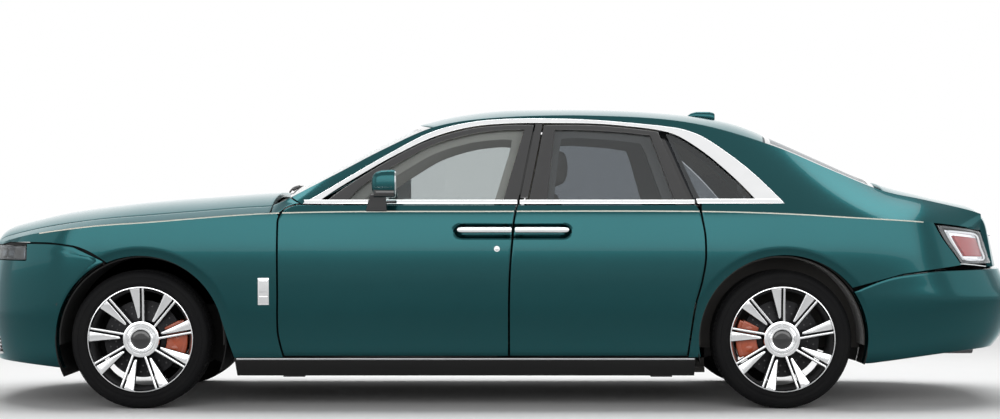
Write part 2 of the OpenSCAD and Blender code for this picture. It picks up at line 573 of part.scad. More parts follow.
module front_axle() color(metal) {
    translate([front_axle_x - 60, -420, 190]) cube([120, 840, 70]);
    both_sides() {
        for (z = [214, 470]) {
            translate([front_axle_x - 40, -pivot_y + 25, z]) cube([80, 380, 26]);
            translate([front_axle_x, -pivot_y, z]) cylinder(r = 35, h = 26, $fn = 40);
        }
        translate([front_axle_x, -pivot_y, 214]) cylinder(r = 14, h = 112, $fn = 40);
        translate([front_axle_x, -pivot_y, 384]) cylinder(r = 14, h = 112, $fn = 40);
        translate([front_axle_x - 40, -420, 190]) cube([80, 30, 330]);
    }
}
module stub(len) rotate([90, 0, 0]) cylinder(r = 32, h = len, $fn = 48);
// Brake caliper that straddles the disc, in front of or behind the hub
module caliper(side) difference() {
    translate([0, 44, 0]) rotate([90, 0, 0]) intersection() {
        cylinder(r = 234, h = 88, $fn = 96);
        translate([side > 0 ? 100 : -300, -100, -5]) cube([200, 200, 100]);
    }
    translate([0, 60, 0]) rotate([90, 0, 0]) cylinder(r = 124, h = 120, $fn = 64);
    translate([0, 24, 0]) rotate([90, 0, 0]) cylinder(r = 207, h = 48, $fn = 96);
}
module brake_bracket(side) translate([side > 0 ? 20 : -150, disc_y + 25, -32]) cube([130, 18, 64]);
module knuckle() color(metal) translate([front_axle_x, -pivot_y, axle_z]) {
    difference() {
        union() {
            translate([-42, -30, -62]) cube([84, 60, 124]);
            translate([0, 0, -62]) cylinder(r = 36, h = 124, $fn = 40);
        }
        translate([0, 0, -80]) cylinder(r = 14.05, h = 160, $fn = 40);
    }
    translate([0, -20, 0]) stub(90);
    brake_bracket(1);
    color([0.72, 0.30, 0.12]) translate([0, disc_y, 0]) caliper(1);
}
module knuckle_left() knuckle();
module knuckle_right() mirror([0, 1, 0]) knuckle();
module rear_axle() color(metal) {
    translate([rear_axle_x - 60, -480, 300]) cube([120, 960, 70]);
    both_sides() translate([rear_axle_x, -pivot_y, axle_z]) {
        translate([-42, -30, -56]) cube([84, 340, 70]);
        translate([-42, -30, -56]) cube([84, 60, 112]);
        translate([0, -20, 0]) stub(90);
        brake_bracket(-1);
        translate([0, disc_y, 0]) caliper(-1);
    }
}

// Outline of a tapering blade with a rounded point, left of its slot
blade = concat([for (a = [180:30:360]) [-12.5 + 7.5 * cos(a), 114 + 7.5 * sin(a)]], [[-5, 262], [-57, 258]]);

module rim() color(chrome) {
    rotate([90, 0, 0]) rotate_extrude($fn = 72) polygon([[rim_radius, -120], [rim_radius, 119],
        [rim_radius - 3, 121], [rim_radius - 8, 118], [rim_radius - 11, 106], [rim_radius - 20, 88],
        [rim_radius - 23, 40], [rim_radius - 23, -80], [rim_radius - 20, -106], [rim_radius - 10, -120]]);
    difference() {
        union() {
            rotate([90, 0, 0]) rotate_extrude($fn = 64) polygon([[0, 0], [58, 0], [58, 62], [86, 66], [94, 78],
                [94, 90], [88, 97], [74, 97], [68, 92], [62, 100], [56, 103], [50, 101], [47, 95], [0, 95]]);
            // Spokes cut by one dished ring
            intersection() {
                translate([0, -50, 0]) rotate([90, 0, 0]) linear_extrude(80)
                    for (i = [0:spoke_count - 1]) rotate(i * 360 / spoke_count) {
                        polygon([[5, 80], [17, 80], [16, 262], [5, 262]]);
                        polygon(blade);
                        polygon([[-17, 78], [8, 78], [8, 112], [-17, 116]]);
                    }
                rotate([90, 0, 0]) rotate_extrude($fn = 96) polygon([[60, 66], [150, 68], [264, 82], [264, 112],
                    [220, 103], [160, 97], [100, 94], [60, 94]]);
            }
        }
        translate([0, 10, 0]) rotate([90, 0, 0]) cylinder(r = 32.05, h = 72, $fn = 48);
    }
    translate([0, 9, 0]) rotate([90, 0, 0]) difference() {
        cylinder(r = 200, h = 34, $fn = 72);
        translate([0, 0, -5]) cylinder(r = 54, h = 50, $fn = 48);
    }
}
module tyre() color(dark) rotate([90, 0, 0]) rotate_extrude($fn = 72) let (w = tyre_width / 2, r = tyre_radius)
    polygon([[rim_radius, -w + 14], [rim_radius + 34, -w], [r - 34, -w], [r - 10, -w + 12], [r, -w + 34],
        [r, w - 34], [r - 10, w - 12], [r - 34, w], [rim_radius + 34, w], [rim_radius, w - 14]]);
module at_wheel(x, left) {
    if (left) translate([x, -wheel_plane, axle_z]) children();
    else mirror([0, 1, 0]) translate([x, -wheel_plane, axle_z]) children();
}
module wheel_front_left() at_wheel(front_axle_x, true) rim();
module wheel_front_right() at_wheel(front_axle_x, false) rim();
module wheel_rear_left() at_wheel(rear_axle_x, true) rim();
module wheel_rear_right() at_wheel(rear_axle_x, false) rim();
module tyre_front_left() at_wheel(front_axle_x, true) tyre();
module tyre_front_right() at_wheel(front_axle_x, false) tyre();
module tyre_rear_left() at_wheel(rear_axle_x, true) tyre();
module tyre_rear_right() at_wheel(rear_axle_x, false) tyre();

floor_pan();
front_bulkhead();
rear_tub();
cabin_frame();
quarter_left();
quarter_right();
roof_panel();
fender_left();
fender_right();
front_bumper();
rear_bumper();
grille();
fixed_glass();
headlamps();
tail_lamps();
window_surround();
seats();
dashboard();
steering_wheel();
engine_block();
front_axle();
rear_axle();
exhaust();
antenna_fin();
bonnet();
boot_lid();
door_front_left();
door_front_right();
door_rear_left();
door_rear_right();
glass_front_left();
glass_front_right();
glass_rear_left();
glass_rear_right();
mirror_left();
mirror_right();
handle_front_left();
handle_front_right();
handle_rear_left();
handle_rear_right();
knuckle_left();
knuckle_right();
wheel_front_left();
wheel_front_right();
wheel_rear_left();
wheel_rear_right();
tyre_front_left();
tyre_front_right();
tyre_rear_left();
tyre_rear_right();
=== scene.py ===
import math

import bmesh
import bpy
import numpy as np
from bpy.props import FloatProperty, FloatVectorProperty, IntProperty, PointerProperty
from mathutils import Matrix, Vector


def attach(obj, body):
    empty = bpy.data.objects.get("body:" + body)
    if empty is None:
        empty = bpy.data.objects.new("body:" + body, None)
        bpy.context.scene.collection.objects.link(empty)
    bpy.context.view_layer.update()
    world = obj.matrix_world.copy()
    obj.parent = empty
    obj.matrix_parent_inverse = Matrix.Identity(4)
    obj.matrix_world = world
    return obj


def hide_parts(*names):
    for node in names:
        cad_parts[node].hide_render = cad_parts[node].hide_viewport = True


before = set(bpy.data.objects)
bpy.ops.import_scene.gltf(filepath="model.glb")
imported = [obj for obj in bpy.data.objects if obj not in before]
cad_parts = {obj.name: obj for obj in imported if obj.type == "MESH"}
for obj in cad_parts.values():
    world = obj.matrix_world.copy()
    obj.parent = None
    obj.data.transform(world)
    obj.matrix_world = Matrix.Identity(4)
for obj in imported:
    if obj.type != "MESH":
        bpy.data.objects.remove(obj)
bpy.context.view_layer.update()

bl_info = {
    "name": "Four-door saloon",
    "version": (1, 0, 0),
    "blender": (4, 5, 0),
    "location": "View3D > Sidebar > Saloon",
    "description": "Dresses the packed saloon with paint, brightwork, glass, wheels and a trimmed cabin",
    "category": "Object",
}

MM = 0.001
SIDES = (("left", -1), ("right", 1))


# Smooth lines and surfaces, in millimetres: the points of the part's source, with a rounder nose in plan

def smooth_line(pairs, ease=0.0):
    """Line through (place, value) pairs, rounded over a distance of about ease."""
    p = np.array(pairs, float)
    x, y = p[:, 0], p[:, 1]
    k = np.arange(len(x))
    lo, hi = np.maximum(k - 1, 0), np.minimum(k + 1, len(x) - 1)
    m = (y[hi] - y[lo]) / (x[hi] - x[lo])

    def exact(q):
        q = np.asarray(q, float)
        i = np.clip(np.searchsorted(x, q) - 1, 0, len(x) - 2)
        h = x[i + 1] - x[i]
        t = np.clip((q - x[i]) / h, 0, 1)
        return ((2 * t ** 3 - 3 * t ** 2 + 1) * y[i] + (t ** 3 - 2 * t ** 2 + t) * h * m[i]
                + (3 * t ** 2 - 2 * t ** 3) * y[i + 1] + (t ** 3 - t ** 2) * h * m[i + 1])
    if not ease:
        return exact
    step = ease / 8
    d = np.arange(x[0] - 5 * ease, x[-1] + 5 * ease, step)
    v = exact(d) + m[0] * np.minimum(d - x[0], 0) + m[-1] * np.maximum(d - x[-1], 0)
    w = np.exp(-0.5 * (np.arange(-28, 29) * step / ease) ** 2)
    v = np.convolve(v, w / w.sum(), "same")
    return lambda q: np.interp(np.clip(q, x[0], x[-1]), d, v)


def resample(points, n, ease=0.0, places=None):
    """n points along a line of points, evenly by length, and the places they came from."""
    p = np.array(points, float)
    if places is None:
        places = np.concatenate([[0], np.cumsum(np.linalg.norm(np.diff(p, axis=0), axis=1))])
    q = np.linspace(places[0], places[-1], n)
    cols = [smooth_line(list(zip(places, p[:, k])), ease)(q) for k in range(p.shape[1])]
    return np.stack(cols, -1), places, q


front_axle, rear_axle, axle_z, wheel_plane = -1845.0, 1450.0, 356.0, 835.0
arch_radius, wing_wall, gap, belt, door_low, sill_z = 430.0, 32.0, 9.0, 1046.0, 272.0, 264.0
lip_radius, lip_width, lip_depth, tumble = 482.0, 52.0, 10.0, 48.0
pocket_x, pocket_z, pocket_half, pocket_edge, pocket_depth = 64.0, 911.0, 262.0, 42.0, 24.0
nose_start, tail_start, nose_power, tail_power = -2000.0, 1500.0, 2.4, 3.2
side_width = smooth_line([(165, 905), (265, 958), (401, 978), (600, 987), (790, 989), (950, 976),
                          (1015, 962), (1060, 944)], 14)
nose_x = smooth_line([(180, -2690), (240, -2742), (450, -2773), (560, -2772), (700, -2758), (803, -2740),
                      (850, -2727), (881, -2712), (926, -2667), (950, -2600)], 6)
tail_x = smooth_line([(180, 2560), (270, 2640), (359, 2712), (448, 2749), (537, 2773), (581, 2772),
                      (631, 2740), (731, 2690), (804, 2667), (892, 2645), (965, 2623), (1000, 2600),
                      (1037, 2556)], 8)
shoulder_z = smooth_line([(-2640, 850), (-2560, 866), (-2450, 890), (-2235, 921), (-2040, 943),
                          (-1850, 955), (-1142, 1006), (0, 1015), (1000, 1015), (1450, 1003), (1800, 983),
                          (2180, 960), (2450, 930), (2560, 912)], 45)
rail_z = smooth_line([(-1180, 1044), (-1135, 1058), (-1090, 1080), (-829, 1218), (-600, 1340),
                      (-333, 1458), (0, 1505), (500, 1515), (1000, 1478), (1430, 1358), (1720, 1235),
                      (2000, 1120), (2200, 1078), (2500, 1010), (2560, 985)], 34)
rail_y = smooth_line([(-1180, 829), (-1135, 864), (-1090, 886), (-829, 835), (-600, 785), (-333, 735),
                      (0, 705), (500, 690), (1000, 690), (1430, 700), (1720, 720), (2000, 745), (2200, 735),
                      (2500, 690), (2560, 672)], 34)
line_a = smooth_line([(262, -1108), (330, -1126), (401, -1139), (600, -1140), (959, -1140), (1000, -1127),
                      (1026, -1103), (1041, -1068), (1052, -1010)], 3)
line_b = smooth_line([(262, 46), (560, 46), (719, 51), (867, 63), (949, 69), (1015, 79), (1075, 98)], 12)
line_c = smooth_line([(262, 962), (326, 971), (429, 985), (542, 1004), (645, 1033), (753, 1053), (816, 1055),
                      (900, 1051), (971, 1038), (1015, 1030), (1052, 1005), (1080, 980)], 12)


def mix(a, b, t):
    """Value at share t of the way from a to b."""
    return a + (b - a) * t


def plan(x, z):
    """Share of the full width at a place, less than one on the rounded nose and tail."""
    ahead = np.clip((nose_start - x) / (nose_start - nose_x(z)), 0, 1)
    behind = np.clip((x - tail_start) / (tail_x(z) - tail_start), 0, 1)
    return (1 - ahead ** nose_power) ** (1 / nose_power) * (1 - behind ** tail_power) ** (1 / tail_power)


def half(x, z):
    """Half width of the lower body, drawn in a little at the lips of the wheel arches."""
    r = np.minimum(np.hypot(x - front_axle, z - axle_z), np.hypot(x - rear_axle, z - axle_z))
    lip = (lip_radius - np.maximum(r, arch_radius - 5)) / lip_width
    return side_width(z) * plan(x, z) - np.where(r < lip_radius, lip_depth * lip ** 2, 0)


def shoulder(x):
    """Points on the crease below the windows, left side."""
    z = shoulder_z(x)
    return np.stack([x, -half(x, z), z], -1)


def rail(x):
    """Points on the edge of the roof, left side."""
    x = np.asarray(x, float)
    return np.stack([x, -rail_y(x), rail_z(x)], -1)


def flank(x, z):
    """Half width of the body at a place, above the shoulder too."""
    s, r = shoulder(x), rail(x)
    t = np.clip((z - s[..., 2]) / np.maximum(1, r[..., 2] - s[..., 2]), 0, 1)
    return np.where(z <= s[..., 2], half(x, z), -mix(s[..., 1], r[..., 1], t) + tumble * t * (1 - t))


def on_flank(xz, d):
    """Points on the left side from (x, z) places, a distance d behind the skin."""
    x, z = xz[..., 0], xz[..., 1]
    return np.stack([x, -(flank(x, z) - d), z], -1)


def between(lines, steps):
    """Rows of (x, z) points between boundary lines drawn in side view."""
    rows = []
    for k, n in enumerate(steps):
        for j in range(0 if k == 0 else 1, n + 1):
            rows.append(mix(lines[k], lines[k + 1], j / n))
    return np.array(rows)


def straight(a, b, n):
    """n points on a straight line."""
    t = np.linspace(0, 1, n)[:, None]
    return mix(np.array(a, float), np.array(b, float), t)


def crown(c, e, n, kx, kz, d):
    """Crowned panel across the car from its centre line and its edge line."""
    g = np.gradient(c, axis=0)
    g /= np.linalg.norm(g, axis=1)[:, None]
    v = np.linspace(1, -1, n)[None, :]
    w = abs(v)
    x = mix(c[:, :1], e[:, :1], w ** kx) + g[:, 1:2] * d
    z = mix(c[:, 1:2], e[:, 2:3], w ** kz) - g[:, :1] * d
    return np.stack([x, v * e[:, 1:2] + 0 * x, z], -1)


def ring(angle, z, d, end):
    """Place on the rounded end of the lower body, seen from above."""
    x0, xe, power = (nose_start, nose_x(z), nose_power) if end < 0 else (tail_start, tail_x(z), tail_power)
    w, a = side_width(z) - d, abs(xe - x0) - d
    return np.stack([x0 + end * a * abs(np.cos(angle)) ** (2 / power),
                     np.sign(angle) * w * abs(np.sin(angle)) ** (2 / power), z + 0 * angle], -1)


def ring_angle(x, x0, xe):
    """Angle on the rounded end at which it reaches x."""
    power = nose_power if x0 < 0 else tail_power
    return np.arccos(np.clip(abs(x - x0) / abs(xe - x0), 0, 1) ** (power / 2))


def handle_pocket(x, z):
    """How far the surface stands in at the door handles: a long rounded pocket."""
    u = np.maximum(abs(x - pocket_x) - pocket_half, 0) / pocket_edge
    v = (z - pocket_z) / pocket_edge
    t = np.clip((1 - np.sqrt(u ** 2 + v ** 2)) / 0.55, 0, 1)
    return pocket_depth * t * t * (3 - 2 * t)


# Materials

class Value:
    """A shader socket; arithmetic on it adds Math nodes."""

    def __init__(self, finish, socket):
        self.finish, self.socket = finish, socket

    def math(self, operation, other):
        return self.finish.node("ShaderNodeMath", {"operation": operation}, {0: self, 1: other})

    def __add__(self, other):
        return self.math("ADD", other)

    def __mul__(self, other):
        return self.math("MULTIPLY", other)

    def __pow__(self, other):
        return self.math("POWER", other)


class Finish:
    """One material and the nodes in it."""

    def __init__(self, name, colour):
        self.material = bpy.data.materials.new(name)
        self.material.use_nodes = True
        self.material.diffuse_color = (*colour, 1)
        self.tree = self.material.node_tree
        self.tree.nodes.clear()
        self.out = self.tree.nodes.new("ShaderNodeOutputMaterial")

    def node(self, kind, options=None, sockets=None, out=0):
        made = self.tree.nodes.new(kind)
        for key, value in (options or {}).items():
            setattr(made, key, value)
        for key, value in (sockets or {}).items():
            if isinstance(value, Value):
                self.tree.links.new(value.socket, made.inputs[key])
            else:
                made.inputs[key].default_value = value
        return Value(self, made.outputs[out])

    def place(self, scale=(1, 1, 1)):
        where = self.node("ShaderNodeTexCoord", out=3)
        return self.node("ShaderNodeMapping", None, {0: where, 3: scale})

    def noise(self, scale, detail=3.0, stretch=(1, 1, 1)):
        return self.node("ShaderNodeTexNoise", None,
                         {"Vector": self.place(stretch), "Scale": scale, "Detail": detail})

    def tint(self, factor, a, b):
        return self.node("ShaderNodeMix", {"data_type": "RGBA"}, {0: factor, 6: (*a, 1), 7: (*b, 1)}, out=2)

    def bump(self, height, strength, distance):
        return self.node("ShaderNodeBump", None,
                         {"Strength": strength, "Distance": distance, "Height": height})

    def shown(self, shader):
        self.tree.links.new(shader.socket, self.out.inputs[0])

    def surface(self, **sockets):
        values = {key.replace("_", " "): value for key, value in sockets.items()}
        self.shown(self.node("ShaderNodeBsdfPrincipled", None, values))


def shade(colour, k):
    """A colour made lighter or darker."""
    return tuple(min(1.0, c * k) for c in colour)


def settings():
    return bpy.context.scene.saloon


def body_paint(_):
    """Metallic paint in the colour that the settings hold."""
    c = tuple(settings().paint_colour)
    f = Finish("metallic_paint", c)
    flakes, drift = f.noise(2600, 1), f.noise(1.6, 2)
    f.surface(Base_Color=f.tint(drift * 0.3 + flakes * 0.35, shade(c, 0.85), shade(c, 1.15)), Metallic=0.9,
              Specular_Tint=(0.30, 0.52, 0.55, 1), Roughness=f.noise(9, 3) * 0.04 + 0.17, Coat_Weight=0.55,
              Coat_Roughness=0.02, Coat_IOR=1.3, Normal=f.bump(flakes, 0.02, 0.0001))
    return f


def red_reflector(name):
    """Red plastic moulded in small cells."""
    f = Finish(name, (0.5, 0.02, 0.02))
    cells = f.node("ShaderNodeTexVoronoi", None, {"Vector": f.place(), "Scale": 190})
    f.surface(Base_Color=f.tint(cells, (0.62, 0.02, 0.02), (0.30, 0.006, 0.008)), Roughness=0.2,
              Metallic=0.25, Coat_Weight=0.8, Normal=f.bump(cells, 0.5, 0.002))
    return f


def veneer(name):
    """Lacquered wood."""
    f = Finish(name, (0.12, 0.045, 0.018))
    grain = f.node("ShaderNodeTexWave", {"bands_direction": "Z"},
                   {"Vector": f.place((1, 0.15, 1)), "Scale": 34, "Distortion": 7, "Detail": 4})
    f.surface(Base_Color=f.tint(grain, (0.05, 0.017, 0.007), (0.20, 0.078, 0.030)), Roughness=0.3,
              Coat_Weight=1.0, Coat_Roughness=0.03)
    return f


def leather(name):
    """Grained leather, in the colour that the settings hold on the seats and dark elsewhere."""
    c = tuple(settings().leather_colour) if name == "seat_leather" else (0.035, 0.033, 0.032)
    f = Finish(name, c)
    cells = f.node("ShaderNodeTexVoronoi", {"feature": "DISTANCE_TO_EDGE"},
                   {"Vector": f.place(), "Scale": 420})
    f.surface(Base_Color=f.tint(f.noise(7, 3), shade(c, 0.86), shade(c, 1.08)), Sheen_Weight=0.12,
              Roughness=f.noise(60, 3) * 0.16 + 0.40, Normal=f.bump(cells, 0.25, 0.0008))
    return f


def see_through(name, swatch, clear, floor_gloss, edge_gloss=0.85):
    """Thin glass: clear straight through, with a mirror gloss that grows at a slant."""
    f = Finish(name, swatch)
    slant = f.node("ShaderNodeLayerWeight", None, {"Blend": 0.5}, out=1)
    body = f.node("ShaderNodeBsdfTransparent", None, {"Color": (*clear, 1)})
    mirror = f.node("ShaderNodeBsdfPrincipled", None,
                    {"Base Color": (0.92, 0.94, 0.94, 1), "Metallic": 1.0, "Roughness": 0.015})
    f.shown(f.node("ShaderNodeMixShader", None,
                   {0: slant ** 5 * edge_gloss + floor_gloss, 1: body, 2: mirror}))
    return f


def grained(name, swatch, dark, light, grain, rough, relief, sockets, tinted=None, shaped=None):
    """Finish with one noise in its tint, roughness and relief; tinted and shaped are noises of their own."""
    f = Finish(name, swatch)
    noise = f.noise(*grain)
    spread, least = rough
    values = dict(sockets)
    if relief:
        values["Normal"] = f.bump(f.noise(*shaped) if shaped else noise, *relief)
    f.surface(Base_Color=f.tint(f.noise(*tinted) if tinted else noise, dark, light),
              Roughness=noise * spread + least if spread else least, **values)
    return f


# Swatch, clear tint, gloss seen straight on and gloss at the edge
GLASS = {
    "screen_glass": ((0.3, 0.32, 0.33), (0.86, 0.89, 0.88), 0.04),
    "side_glass": ((0.2, 0.21, 0.22), (0.80, 0.82, 0.82), 0.05),
    "rear_glass": ((0.1, 0.105, 0.11), (0.56, 0.58, 0.60), 0.05, 0.35),
    "lamp_glass": ((0.8, 0.82, 0.84), (0.93, 0.94, 0.95), 0.03)}
METAL, LACQUER = {"Metallic": 1.0}, {"Coat_Weight": 1.0, "Coat_Roughness": 0.03}
LIT = {"Emission_Color": (1, 1, 1, 1), "Emission_Strength": 0.35}
# Swatch, dark and light tints, grain as scale, detail and stretch, spread and least of the roughness,
# strength and depth of the relief, other sockets, and grains of their own for tint and relief
GRAINED = {
    "bright_metal": ((0.86, 0.87, 0.88), (0.80, 0.81, 0.82), (0.90, 0.905, 0.91), (14, 4), (0.06, 0.045),
                     None, METAL),
    "polished_alloy": ((0.75, 0.76, 0.77), (0.70, 0.71, 0.72), (0.82, 0.825, 0.83), (18, 3), (0.07, 0.12),
                       (0.04, 0.0003), METAL, None, (900, 2, (1, 0.04, 1))),
    "gloss_black": ((0.012, 0.012, 0.013), (0.008, 0.008, 0.009), (0.016, 0.016, 0.017), (22, 3),
                    (0.10, 0.08), None, {"Coat_Weight": 0.6, "Coat_Roughness": 0.03}),
    "moulded_plastic": ((0.02, 0.02, 0.021), (0.014, 0.014, 0.015), (0.026, 0.026, 0.027), (700, 4),
                        (0.2, 0.48), (0.25, 0.0006), {}, (6, 3)),
    "seal_rubber": ((0.012, 0.012, 0.012), (0.008, 0.008, 0.008), (0.018, 0.018, 0.018), (400, 4),
                    (0.15, 0.6), (0.15, 0.0005), {"Specular_IOR_Level": 0.2}),
    "tyre_rubber": ((0.016, 0.016, 0.017), (0.004, 0.004, 0.005), (0.010, 0.010, 0.010), (260, 5),
                    (0.22, 0.6), (0.3, 0.0006), {"Specular_IOR_Level": 0.1}, (5, 3)),
    "lamp_white": ((0.9, 0.9, 0.9), (0.78, 0.79, 0.80), (0.93, 0.94, 0.95), (320, 2, (1, 1, 0.1)),
                   (0, 0.25), (0.2, 0.0008), LIT),
    # Brake disc tinted much darker than bare iron: painted shade for the shadow deep inside the wheel
    "disc_iron": ((0.08, 0.08, 0.083), (0.009, 0.009, 0.01), (0.026, 0.026, 0.027), (120, 4), (0.2, 0.3),
                  (0.2, 0.0005), METAL),
    "caliper_paint": ((0.46, 0.07, 0.013), (0.40, 0.055, 0.010), (0.52, 0.085, 0.017), (160, 3),
                      (0.1, 0.3), (0.1, 0.0005), {"Coat_Weight": 0.4}),
    "cast_metal": ((0.22, 0.22, 0.23), (0.15, 0.15, 0.155), (0.28, 0.28, 0.29), (180, 5), (0.25, 0.42),
                   (0.35, 0.001), {"Metallic": 0.85}),
    "under_seal": ((0.02, 0.02, 0.02), (0.010, 0.010, 0.010), (0.030, 0.030, 0.029), (90, 5), (0.2, 0.68),
                   (0.5, 0.002), {}),
    "carpet": ((0.05, 0.048, 0.045), (0.022, 0.021, 0.020), (0.085, 0.080, 0.074), (520, 6), (0, 0.95),
               (0.8, 0.004), {"Sheen_Weight": 0.4}),
    "headlining": ((0.55, 0.52, 0.47), (0.48, 0.45, 0.41), (0.60, 0.57, 0.52), (900, 3), (0, 0.92),
                   (0.4, 0.001), {"Sheen_Weight": 0.2}),
    "coachline": ((0.75, 0.70, 0.58), (0.66, 0.62, 0.52), (0.80, 0.76, 0.66), (60, 3), (0.1, 0.25), None,
                  LACQUER)}
SPECIAL = {"body_paint": body_paint, "red_reflector": red_reflector, "veneer": veneer,
           "seat_leather": leather, "dark_leather": leather}
SLOTS = {name: slot for slot, names in (
    ("paint", ("body_paint", "coachline")), ("chrome", ("bright_metal",)), ("alloy", ("polished_alloy",)),
    ("black", ("gloss_black", "moulded_plastic", "seal_rubber", "under_seal", "carpet")),
    ("tyre", ("tyre_rubber",)), ("glass", ("screen_glass", "side_glass", "rear_glass")),
    ("lamp", ("lamp_glass", "lamp_white")), ("red_lamp", ("red_reflector",)),
    ("steel", ("disc_iron", "caliper_paint", "cast_metal")),
    ("leather", ("seat_leather", "dark_leather", "veneer", "headlining"))) for name in names}
finishes = {}


def finish(name):
    """The material of that name, made on first use."""
    if name not in finishes:
        if name in GLASS:
            made = see_through(name, *GLASS[name])
        elif name in GRAINED:
            made = grained(name, *GRAINED[name])
        else:
            made = SPECIAL[name](name)
        finishes[name] = made.material
    return finishes[name]


# Mesh making

SHARP_ANGLE = 38
BOX_FACES = [(0, 1, 2, 3), (4, 5, 6, 7), (0, 1, 5, 4), (1, 2, 6, 5), (2, 3, 7, 6), (3, 0, 4, 7)]


def around(n):
    """Angles of n even places on a circle."""
    return np.linspace(0, 2 * math.pi, n, endpoint=False)


def blunted(v, power):
    """Power of a sine or cosine that keeps its sign."""
    return np.sign(v) * abs(v) ** power


def piece(name, verts, faces, materials, index=None, turn=None):
    """Mesh object from points in millimetres; turn=1 mirrors it to the right side."""
    v = np.asarray(verts, float).reshape(-1, 3) * MM
    if turn == 1:
        v = v * (1, -1, 1)
    mesh = bpy.data.meshes.new(name)
    mesh.from_pydata(v.tolist(), [], [list(map(int, f)) for f in faces])
    for m in materials:
        mesh.materials.append(finish(m))
    if index is not None:
        mesh.polygons.foreach_set("material_index", np.asarray(index, np.int32))
    b = bmesh.new()
    b.from_mesh(mesh)
    bmesh.ops.remove_doubles(b, verts=b.verts, dist=1e-6)
    bmesh.ops.dissolve_degenerate(b, edges=b.edges, dist=1e-6)
    bmesh.ops.recalc_face_normals(b, faces=b.faces)
    b.to_mesh(mesh)
    b.free()
    obj = bpy.data.objects.new(name, mesh)
    bpy.context.scene.collection.objects.link(obj)
    obj["slot"] = SLOTS[materials[0]]
    soften(obj)
    return obj


def soften(obj):
    """Smooth shading with sharp edges where faces meet at more than a set angle."""
    obj.data.polygons.foreach_set("use_smooth", np.ones(len(obj.data.polygons), bool))
    obj.data.set_sharp_from_angle(angle=math.radians(SHARP_ANGLE))


def settle(obj):
    """Turns the modifiers' result into the object's own mesh."""
    deps = bpy.context.evaluated_depsgraph_get()
    mesh = bpy.data.meshes.new_from_object(obj.evaluated_get(deps))
    old = obj.data
    obj.modifiers.clear()
    obj.data = mesh
    bpy.data.meshes.remove(old)
    soften(obj)
    return obj


def rounded(obj, width=3.0, segments=2, angle=50):
    """Rounds the sharp edges of a piece."""
    m = obj.modifiers.new("edge", "BEVEL")
    m.width, m.segments = width * MM, segments
    m.limit_method, m.angle_limit = "ANGLE", math.radians(angle)
    return settle(obj)


def vertex_values(obj, key):
    """One row for each vertex of its place or its normal."""
    values = np.empty(len(obj.data.vertices) * 3)
    obj.data.vertices.foreach_get(key, values)
    return values.reshape(-1, 3)


def on(obj, body, *nodes):
    """Puts a piece on its body, in place of CAD nodes, with its finish slot."""
    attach(obj, body)
    if nodes:
        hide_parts(*nodes)
    return obj


def shell_faces(r, c):
    """Faces of a closed wall of two r by c grids, with a tag: 0 outside, 1 inside, 2 edges."""
    n = r * c
    k = np.arange(n).reshape(r, c)
    a, b, d, e = k[:-1, :-1].ravel(), k[1:, :-1].ravel(), k[1:, 1:].ravel(), k[:-1, 1:].ravel()
    quads = [np.stack([a, b, d, e], 1), np.stack([a, e, d, b], 1) + n]
    loop = np.concatenate([k[0, :-1], k[:-1, -1], k[-1, :0:-1], k[:0:-1, 0]])
    nxt = np.roll(loop, -1)
    quads.append(np.stack([loop, nxt, nxt + n, loop + n], 1))
    tags = np.concatenate([np.full(len(q), t) for t, q in enumerate(quads)])
    return np.concatenate(quads), tags


def shell(name, outer, inner, materials, turn=None, width=3.0):
    """Closed wall between two grids. materials: outside, then inside, then edges."""
    faces, tags = shell_faces(*outer.shape[:2])
    index = np.minimum(tags, len(materials) - 1)
    if len(materials) == 2:
        index = np.where(tags == 1, 1, 0)
    verts = np.concatenate([outer.reshape(-1, 3), inner.reshape(-1, 3)])
    obj = piece(name, verts, faces, materials, index, turn)
    return rounded(obj, width) if width else obj


def side_sheet(name, flat, front, back, materials, turn, width=3.0):
    """Wall that follows the body's side, between two depths behind it."""
    return shell(name, on_flank(flat, front), on_flank(flat, back), materials, turn, width)


def patch(low, high, n, rows):
    """Grid in side view between two level lines, each given as start, end and height."""
    return between([straight((a, z), (b, z), n) for a, b, z in (low, high)], [rows])


def joined(name, objs):
    """One object from several."""
    first = objs[0]
    with bpy.context.temp_override(active_object=first, selected_editable_objects=objs, object=first):
        bpy.ops.object.join()
    first.name = first.data.name = name
    return first


def block(name, corners, material, width=2.0, segments=2, turn=None):
    """Eight-cornered block: four corners of the low face, then four of the high face."""
    obj = piece(name, corners, BOX_FACES, [material], None, turn)
    return rounded(obj, width, segments) if width else obj


def bar(name, lo, hi, material, width=2.0, segments=2, turn=None):
    """Block between two opposite corners."""
    (a, b, c), (d, e, f) = lo, hi
    corners = [(x, y, z) for z in (c, f) for x, y in ((a, b), (d, b), (d, e), (a, e))]
    return block(name, corners, material, width, segments, turn)


def swept(name, sections, materials, index=None, turn=None, width=0.0):
    """Solid through a row of closed sections."""
    s = np.asarray(sections, float)
    m, k = s.shape[:2]
    faces, tags = [], []
    for i in range(m - 1):
        for j in range(k):
            a, b = i * k + j, i * k + (j + 1) % k
            faces.append((a, a + k, b + k, b))
            tags.append(0 if index is None else index[j])
    faces += [tuple(range(k)), tuple(range((m - 1) * k, m * k))]
    tags += [0, 0]
    obj = piece(name, s, faces, materials, tags, turn)
    return rounded(obj, width) if width else obj


def lathe(name, profile, materials, index=None, steps=128, centre=(0, 0, 0), out=-1, closed=False):
    """Ring around the car's cross axis from (radius, outward place) pairs."""
    p = np.asarray(profile, float)
    a = around(steps)
    v = np.stack([centre[0] + p[:, :1] * np.sin(a), np.repeat(centre[1] + out * p[:, 1:2], steps, 1),
                  centre[2] + p[:, :1] * np.cos(a)], -1)
    faces, tags = [], []
    n = len(p)
    for i in range(n if closed else n - 1):
        k = (i + 1) % n
        for j in range(steps):
            q = (j + 1) % steps
            faces.append((i * steps + j, i * steps + q, k * steps + q, k * steps + j))
            tags.append(0 if index is None else index[i])
    return piece(name, v, faces, materials, tags)


